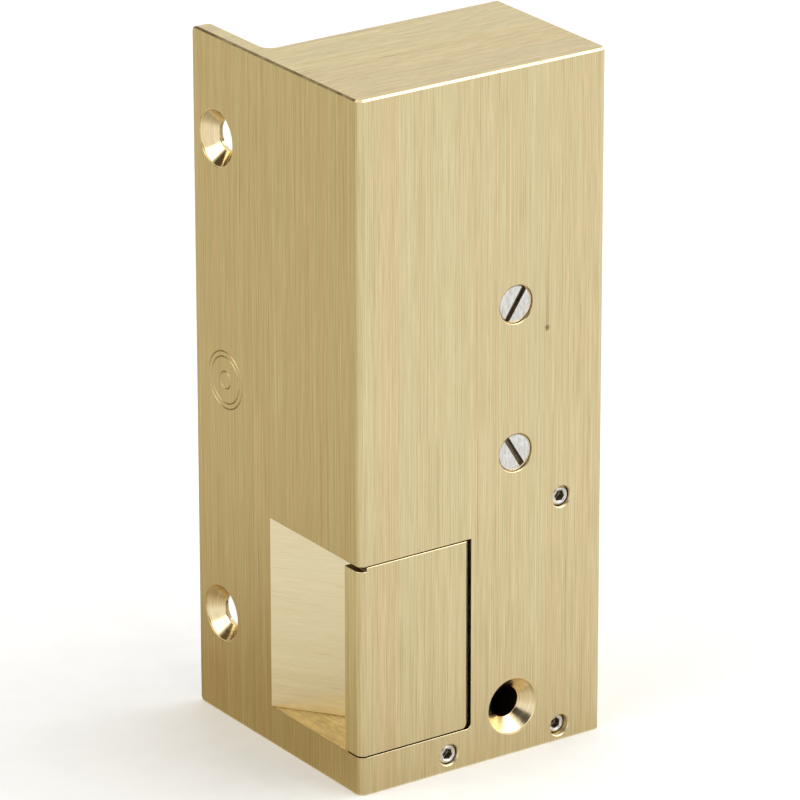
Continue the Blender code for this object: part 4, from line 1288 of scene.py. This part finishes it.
@dataclass
class Screws:
    """Every screw that shows on the outside."""

    head: float = 2.72
    head_height: float = 1.7
    shank: float = 1.5
    slot: tuple[float, float] = (0.85, 0.9)
    set_radius: float = 1.5
    key: float = 1.5

    def slotted(self) -> Piece:
        """The two slotted cheese-head screws that hold the magnet.

        Returns:
            The piece.
        """
        nodes = ("magnet_screw_lower", "magnet_screw_upper")
        low, high = node_box(nodes[0])
        long = high.y - low.y
        work = screw_stock("slotted_screw", [
            (0, 0), (self.head - 0.22, 0), (self.head - 0.06, 0.06), (self.head, 0.22),
            (self.head, self.head_height), (self.shank, self.head_height), (self.shank, long - 0.4),
            (self.shank - 0.4, long), (0, long)], NICKEL, 72)
        half, reach = self.slot[0] / 2, self.head + 1
        outline = [(-reach, -half), (reach, -half), (reach, half), (-reach, half)]
        # the slot is cut in the dark colour: painted shade
        work.cut(about_origin(outline, -1, self.slot[1]), SOCKET_PAINTED_SHADE)
        piece = work.finished()
        chamfer(piece, 0.04, NICKEL, lambda a, b: True, 60.0)
        smooth(piece)
        screws = FastenerSet("magnet_screws", nodes, (-122.0, -56.0), "nickel", NICKEL)
        return screws.put(piece, (low.y, low.y))

    def hexagon(self) -> Outline:
        """The outline of the key's socket."""
        return arc((0, 0), self.key / math.sqrt(3), 0, math.tau * 5 / 6, 5)

    def set_screws(self) -> Piece:
        """The three headless screws that hold the hinge pins.

        Returns:
            The piece.
        """
        nodes = ("keeper_pin_set_screw", "lever_pin_lower_set_screw", "lever_pin_upper_set_screw")
        boxes = [node_box(node) for node in nodes]
        long = min(high.y - low.y for low, high in boxes)
        radius = self.set_radius
        work = screw_stock("set_screw", [
            (0, 0.12), (0.92, 0.12), (1.0, 0.0), (radius - 0.3, 0), (radius, 0.3), (radius, long - 0.4),
            (radius - 0.5, long), (0, long)], NICKEL, 48)
        # the key socket is cut in the dark colour: painted shade
        work.cut(about_origin(self.hexagon(), -1, 1.3), SOCKET_PAINTED_SHADE)
        piece = work.finished()
        chamfer(piece, 0.04, NICKEL, lambda a, b: True, 55.0)
        smooth(piece)
        screws = FastenerSet("hinge_pin_set_screws", nodes, (14.0, -20.0, 8.0), "nickel", NICKEL)
        return screws.put(piece, [low.y for low, _ in boxes])

    def plate_screws(self) -> Piece:
        """The four countersunk screws of the back plate.

        Returns:
            The piece.
        """
        nodes = tuple(f"back_plate_screw_{i}" for i in range(1, 5))
        low, high = node_box(nodes[0])
        long, head = high.y - low.y, (high.x - low.x) / 2
        neck = long - 1.35
        work = screw_stock("plate_screw", [
            (0, 0), (0.9, 0), (1.2, 0.3), (1.2, neck), (head, long - 0.25), (head, long - 0.08),
            (head - 0.1, long), (0, long)], BLACKENED, 48)
        work.cut(about_origin(self.hexagon(), long - 1.1, long + 1), BLACKENED)
        piece = work.finished()
        chamfer(piece, 0.05, BLACKENED, lambda a, b: True, 55.0)
        smooth(piece)
        turns = (10.0, 35.0, -12.0, 22.0)
        screws = FastenerSet("back_plate_screws", nodes, turns, "dark_steel", BLACKENED)
        return screws.put(piece, [low.y] * len(nodes))


# ---------------------------------------------------------------- back plate and inlet
@dataclass
class BackPlate:
    """The zinc-plated plate behind, and the rubber grommet of the cable's inlet."""

    inlet: float = 4.0
    sink: float = 2.45
    corner: float = 1.0

    def plate(self) -> Piece:
        """The plate with its holes.

        Returns:
            The piece.
        """
        low, high = node_box("back_plate")
        middle = node_middle("back_plate")
        spots = [(low.x, low.z, 2), (high.x, low.z, 3), (high.x, high.z, 0), (low.x, high.z, 1)]
        outline = []
        for x, z, quarter in spots:
            inside = (x + math.copysign(self.corner, middle.x - x),
                      z + math.copysign(self.corner, middle.z - z))
            outline += arc(inside, self.corner, quarter * math.pi / 2, (quarter + 1) * math.pi / 2, 6)
        work = Workpiece("back_cover", prism(outline, low.y, high.y, Axis.Y), SHEET_ZINC)
        grommet = node_middle("cable_grommet")
        work.cut(self.hole(grommet, self.inlet, 0.1), SHEET_ZINC)
        x, z = CaseShell.mount_hole
        work.cut(self.hole(Vector((x, 0, z)), CaseShell.bore, 0.2), SHEET_ZINC)
        for i in range(1, 5):
            spot = node_middle(f"back_plate_screw_{i}")
            profile = [(0, 20), (1.45, 20), (1.45, high.y - 1.3), (self.sink, high.y - 0.3), (self.sink, 30),
                       (0, 30)]
            work.cut(lathe(profile, (spot.x, 0, spot.z), Axis.Y, 48), ZINC)
        piece = work.finished()
        chamfer(piece, 0.12, ZINC, lambda a, b: a.y > high.y - 0.01 and b.y > high.y - 0.01)
        smooth(piece)
        return put(piece, "case", "zinc_steel", "back_plate")

    def hole(self, spot: Vector, radius: float, edge: float) -> Solid:
        """The tool for a round hole with a broken edge behind."""
        back = node_box("back_plate")[1].y
        rim = radius + edge
        profile = [(0, 20), (radius, 20), (radius, back - edge), (rim, back), (rim, 30), (0, 30)]
        return lathe(profile, (spot.x, 0, spot.z), Axis.Y)

    def grommet(self) -> Piece:
        """The grommet with rounded lips.

        Returns:
            The piece.
        """
        low, high = node_box("cable_grommet")
        middle, lip = node_middle("cable_grommet"), (high.x - low.x) / 2
        bore, neck = 2.3, 3.8
        seat = node_box("back_plate")[0].y - 0.2
        mouth = arc((bore + 0.45, high.y - 0.45), 0.45, math.pi, math.pi / 2, 6)
        outer = arc((neck - 0.35, high.y - 0.35), 0.35, math.pi / 2, 0, 5)
        inner = arc((lip - 0.45, low.y + 0.45), 0.45, 0, -math.pi / 2, 6)
        profile = [(bore, low.y), *mouth, *outer, (neck, seat), (lip, seat), *inner]
        piece = as_object("cable_inlet_grommet", lathe(profile, (middle.x, 0, middle.z), Axis.Y, 64), RUBBER)
        smooth(piece)
        return put(piece, "case", "rubber", "cable_grommet")


# ---------------------------------------------------------------- mechanism inside
@dataclass
class Mechanism:
    """What the case holds: the lever, the electromagnet, the terminals and their springs and wire."""

    winding_wire: float = 0.22
    lever_coil: float = 2.35
    armature_coil: float = 2.0

    def springs(self) -> None:
        """Make the lever's and the armature's springs."""
        pivot = joint_place("lever_swing")
        low, _ = node_box("lever_spring")
        lever_low = node_box("locking_lever")[0].z
        start, radius = low.z + 0.3, self.lever_coil
        path = [(pivot.x + radius, CaseShell.wall + 0.6, start),
                *helix((pivot.x, pivot.y), radius, start, lever_low - 1.0, 6.5, 0, 28),
                (pivot.x - radius, pivot.y, lever_low - 0.4), (pivot.x - radius, pivot.y, lever_low + 1.6)]
        put(Wire("lever_torsion_spring", 0.3, SPRING).along(path), "case", "zinc_steel", "lever_spring")
        low, high = node_box("armature_spring")
        middle = node_middle("armature_spring")
        path = helix((middle.x, middle.z), self.armature_coil, low.y + 0.28, high.y - 0.28, 5, 0, 28, Axis.Y)
        put(Wire("armature_return_spring", 0.28, SPRING).along(path), "case", "zinc_steel", "armature_spring")

    def winding(self) -> Piece:
        """The coil's winding, with its outer layer of wire laid turn by turn.

        Returns:
            The piece.
        """
        low, high = node_box("coil_winding")
        middle, radius = node_middle("coil_winding"), (high.x - low.x) / 2
        wire = self.winding_wire
        turns = int((high.y - low.y) / (2 * wire)) - 1
        first = low.y + 2 * wire
        last = first + turns * 2 * wire
        path = helix((middle.x, middle.z), radius - wire, first, last, turns, 0, 40, Axis.Y)
        layer = Wire("winding_layer", wire, COPPER, 8, 0.9).along(path)
        core = lathe([(radius - 4.3, low.y), (radius - 1.3 * wire, low.y), (radius - 1.3 * wire, high.y),
                      (radius - 4.3, high.y)], (middle.x, 0, middle.z), Axis.Y, 48)
        core.from_mesh(layer.data)
        bpy.data.objects.remove(layer)
        piece = as_object("copper_winding", core, COPPER)
        smooth(piece)
        return put(piece, "case", "copper", "coil_winding")

    def dress(self) -> None:
        """Give the pieces that keep their CAD shape their finishes."""
        dress(ZINC, "keeper_pin", "lever_pin", "armature_pin", "locking_lever", "terminal_screw_1",
              "terminal_screw_2", "terminal_block_screw")
        dress(IRON, "magnet_yoke", "magnet_core", "armature")
        dress(BOBBIN, "coil_bobbin")
        dress(TERMINAL, "terminal_block")
        dress(WEAR_AND_HIGHLIGHT, "terminal_clamp_1", "terminal_clamp_2")
        dress(COVERING, "coil_lead_1", "coil_lead_2")


# ---------------------------------------------------------------- studio
@dataclass(frozen=True)
class Softbox:
    """A large soft lamp that faces the strike."""

    name: str
    azimuth: float
    elevation: float
    distance: float
    width: float
    height: float
    power: float
    colour: Point = (1.0, 1.0, 1.0)

    def hang(self) -> None:
        """Hang the lamp; the azimuth is 0 in front and grows towards the hinge side."""
        lamp = bpy.data.lights.new(self.name, "AREA")
        lamp.shape = "RECTANGLE"
        lamp.size, lamp.size_y = self.width, self.height
        lamp.energy = self.power
        lamp.color = self.colour
        made = bpy.data.objects.new(self.name, lamp)
        turn, rise = math.radians(self.azimuth), math.radians(self.elevation)
        out = Vector((math.sin(turn) * math.cos(rise), -math.cos(turn) * math.cos(rise), math.sin(rise)))
        made.location = out * self.distance
        made.rotation_euler = out.to_track_quat("Z", "Y").to_euler()
        made.visible_camera = False
        bpy.context.scene.collection.objects.link(made)


@dataclass(frozen=True)
class SkyPatch:
    """A round soft-edged patch of the surroundings in a colour of its own."""

    direction: Point
    reach: float
    full: float
    colour: Point


@dataclass
class Studio:
    """The floor, the lamps and the camera."""

    azimuth: float = -34.56
    elevation: float = 21.22
    roll: float = -0.073
    distance: float = 0.8838
    lens: float = 283.05
    aim: tuple[float, float, float] = (6.93, 0.0, 59.55)
    floor_size: float = 8.0
    sky: float = 1.0
    shade_half: float = 0.3
    shade_rise: float = 0.2
    shade_reach: float = 34.0
    shade_colour: Point = (0.64, 0.56, 0.43)
    shade_lean: Point = (-14.0, 12.0, 0.0)
    patches: tuple[SkyPatch, ...] = (
        SkyPatch((-0.53, 0.77, -0.36), 84.0, 32.0, (0.70, 0.64, 0.48)),
        SkyPatch((0.0, 0.0, -1.0), 50.0, 15.0, (0.62, 0.60, 0.50)),
        SkyPatch((-0.46, -0.63, 0.63), 22.0, 14.0, (0.06, 0.055, 0.05)),
        SkyPatch((-0.36, 0.77, 0.53), 25.0, 13.0, (0.10, 0.075, 0.04)),
    )
    boxes: tuple[Softbox, ...] = (
        Softbox("key_softbox", 50.0, 50.0, 1.6, 1.4, 1.2, 9.0),
        Softbox("side_softbox", 92.0, 8.0, 1.5, 1.3, 1.0, 5.5),
        Softbox("left_softbox", -95.0, 36.0, 1.6, 1.2, 1.0, 5.7),
    )

    def floor(self) -> None:
        """Lay a pale floor just under the strike."""
        floor = self.card("studio_floor", self.floor_size / 2, CAD_BOX[0].z, FLOOR.material())
        floor.visible_glossy = False

    def card(self, name: str, half: float, level: float, material: bpy.types.Material) -> Piece:
        """Lay a flat square about the frame's origin.

        Args:
            name: The object's name.
            half: Half its side in metres.
            level: Its height in metres.
            material: Its material.

        Returns:
            The object.
        """
        mesh = bpy.data.meshes.new(name)
        corners = [(-half, -half, level), (half, -half, level), (half, half, level), (-half, half, level)]
        mesh.from_pydata(corners, [], [(0, 1, 2, 3)])
        mesh.materials.append(material)
        made = bpy.data.objects.new(name, mesh)
        bpy.context.scene.collection.objects.link(made)
        return made

    def ground_shade(self) -> None:
        """Lay a filter near the foot, which only reflections see, so that they darken towards the floor."""
        graph = Graph("ground_shade")
        where = graph.add("TexCoord").outputs["Object"]
        low, high = CAD_BOX
        half = (high - low) / 2
        middle = graph.vector("SUBTRACT", where, tuple((low + high) / 2 + Vector(self.shade_lean) * MM))
        outside = graph.vector("SUBTRACT", graph.vector("ABSOLUTE", middle), tuple(half))
        beyond = graph.vector("MAXIMUM", outside, (0.0,) * 3)
        flat = graph.vector("MULTIPLY", beyond, (1.0, 1.0, 0.0))
        distance = graph.add("VectorMath", {0: flat}, operation="LENGTH").outputs["Value"]
        near = graph.maths("EXPONENT", graph.maths("MULTIPLY", distance, -1.0 / (self.shade_reach * MM)))
        tint = graph.mix(near, (1.0, 1.0, 1.0, 1.0), (*self.shade_colour, 1.0))
        clear = graph.add("BsdfTransparent", {"Color": tint})
        graph.tree.links.new(clear.outputs[0], graph.tree.nodes["Material Output"].inputs["Surface"])
        level = CAD_BOX[0].z + self.shade_rise * MM
        shade = self.card("ground_shade", self.shade_half, level, graph.material)
        shade.visible_camera = shade.visible_diffuse = shade.visible_shadow = False
        shade.visible_transmission = shade.visible_volume_scatter = False

    def lamps(self) -> None:
        """Hang the softboxes and set the sky."""
        for box in self.boxes:
            box.hang()
        world = bpy.data.worlds.new("studio_sky")
        world.use_nodes = True
        tree = world.node_tree
        direction = tree.nodes.new("ShaderNodeTexCoord").outputs["Generated"]
        colour = (1.0, 1.0, 1.0, 1.0)
        for patch in self.patches:
            toward = tree.nodes.new("ShaderNodeVectorMath")
            toward.operation = "DOT_PRODUCT"
            toward.inputs[1].default_value = Vector(patch.direction).normalized()
            tree.links.new(direction, toward.inputs[0])
            spread = tree.nodes.new("ShaderNodeMapRange")
            spread.interpolation_type = "SMOOTHSTEP"
            spread.inputs["From Min"].default_value = math.cos(math.radians(patch.reach))
            spread.inputs["From Max"].default_value = math.cos(math.radians(patch.full))
            tree.links.new(toward.outputs["Value"], spread.inputs["Value"])
            shade = tree.nodes.new("ShaderNodeMix")
            shade.data_type = "RGBA"
            if isinstance(colour, tuple):
                shade.inputs[6].default_value = colour
            else:
                tree.links.new(colour, shade.inputs[6])
            shade.inputs[7].default_value = (*patch.colour, 1.0)
            tree.links.new(spread.outputs[0], shade.inputs[0])
            colour = shade.outputs[2]
        background = tree.nodes["Background"]
        tree.links.new(colour, background.inputs["Color"])
        background.inputs["Strength"].default_value = self.sky
        bpy.context.scene.world = world

    def camera(self) -> None:
        """Set up the camera."""
        turn, rise = math.radians(self.azimuth), math.radians(self.elevation)
        back = Vector((math.sin(turn) * math.cos(rise), -math.cos(turn) * math.cos(rise), math.sin(rise)))
        data = bpy.data.cameras.new("studio_camera")
        data.sensor_width, data.lens = 36.0, self.lens
        data.clip_start, data.clip_end = 0.01, 50.0
        camera = bpy.data.objects.new("studio_camera", data)
        camera.location = place(*self.aim) + back * self.distance
        aimed = back.to_track_quat("Z", "Y") @ Quaternion((0, 0, 1), math.radians(self.roll))
        camera.rotation_euler = aimed.to_euler()
        bpy.context.scene.collection.objects.link(camera)
        bpy.context.scene.camera = camera
        bpy.context.scene.view_settings.view_transform = "Standard"


def main() -> None:
    """Build the studio and every piece of the strike."""
    logging.basicConfig(level=logging.INFO, format="%(name)s: %(message)s")
    studio = Studio()
    studio.camera()
    studio.floor()
    studio.ground_shade()
    studio.lamps()
    CaseShell().build()
    keeper = Keeper()
    keeper.leaf()
    keeper.spring()
    screws = Screws()
    screws.slotted()
    screws.set_screws()
    screws.plate_screws()
    plate = BackPlate()
    plate.plate()
    plate.grommet()
    mechanism = Mechanism()
    mechanism.springs()
    mechanism.winding()
    mechanism.dress()


if __name__ == "__main__":
    main()
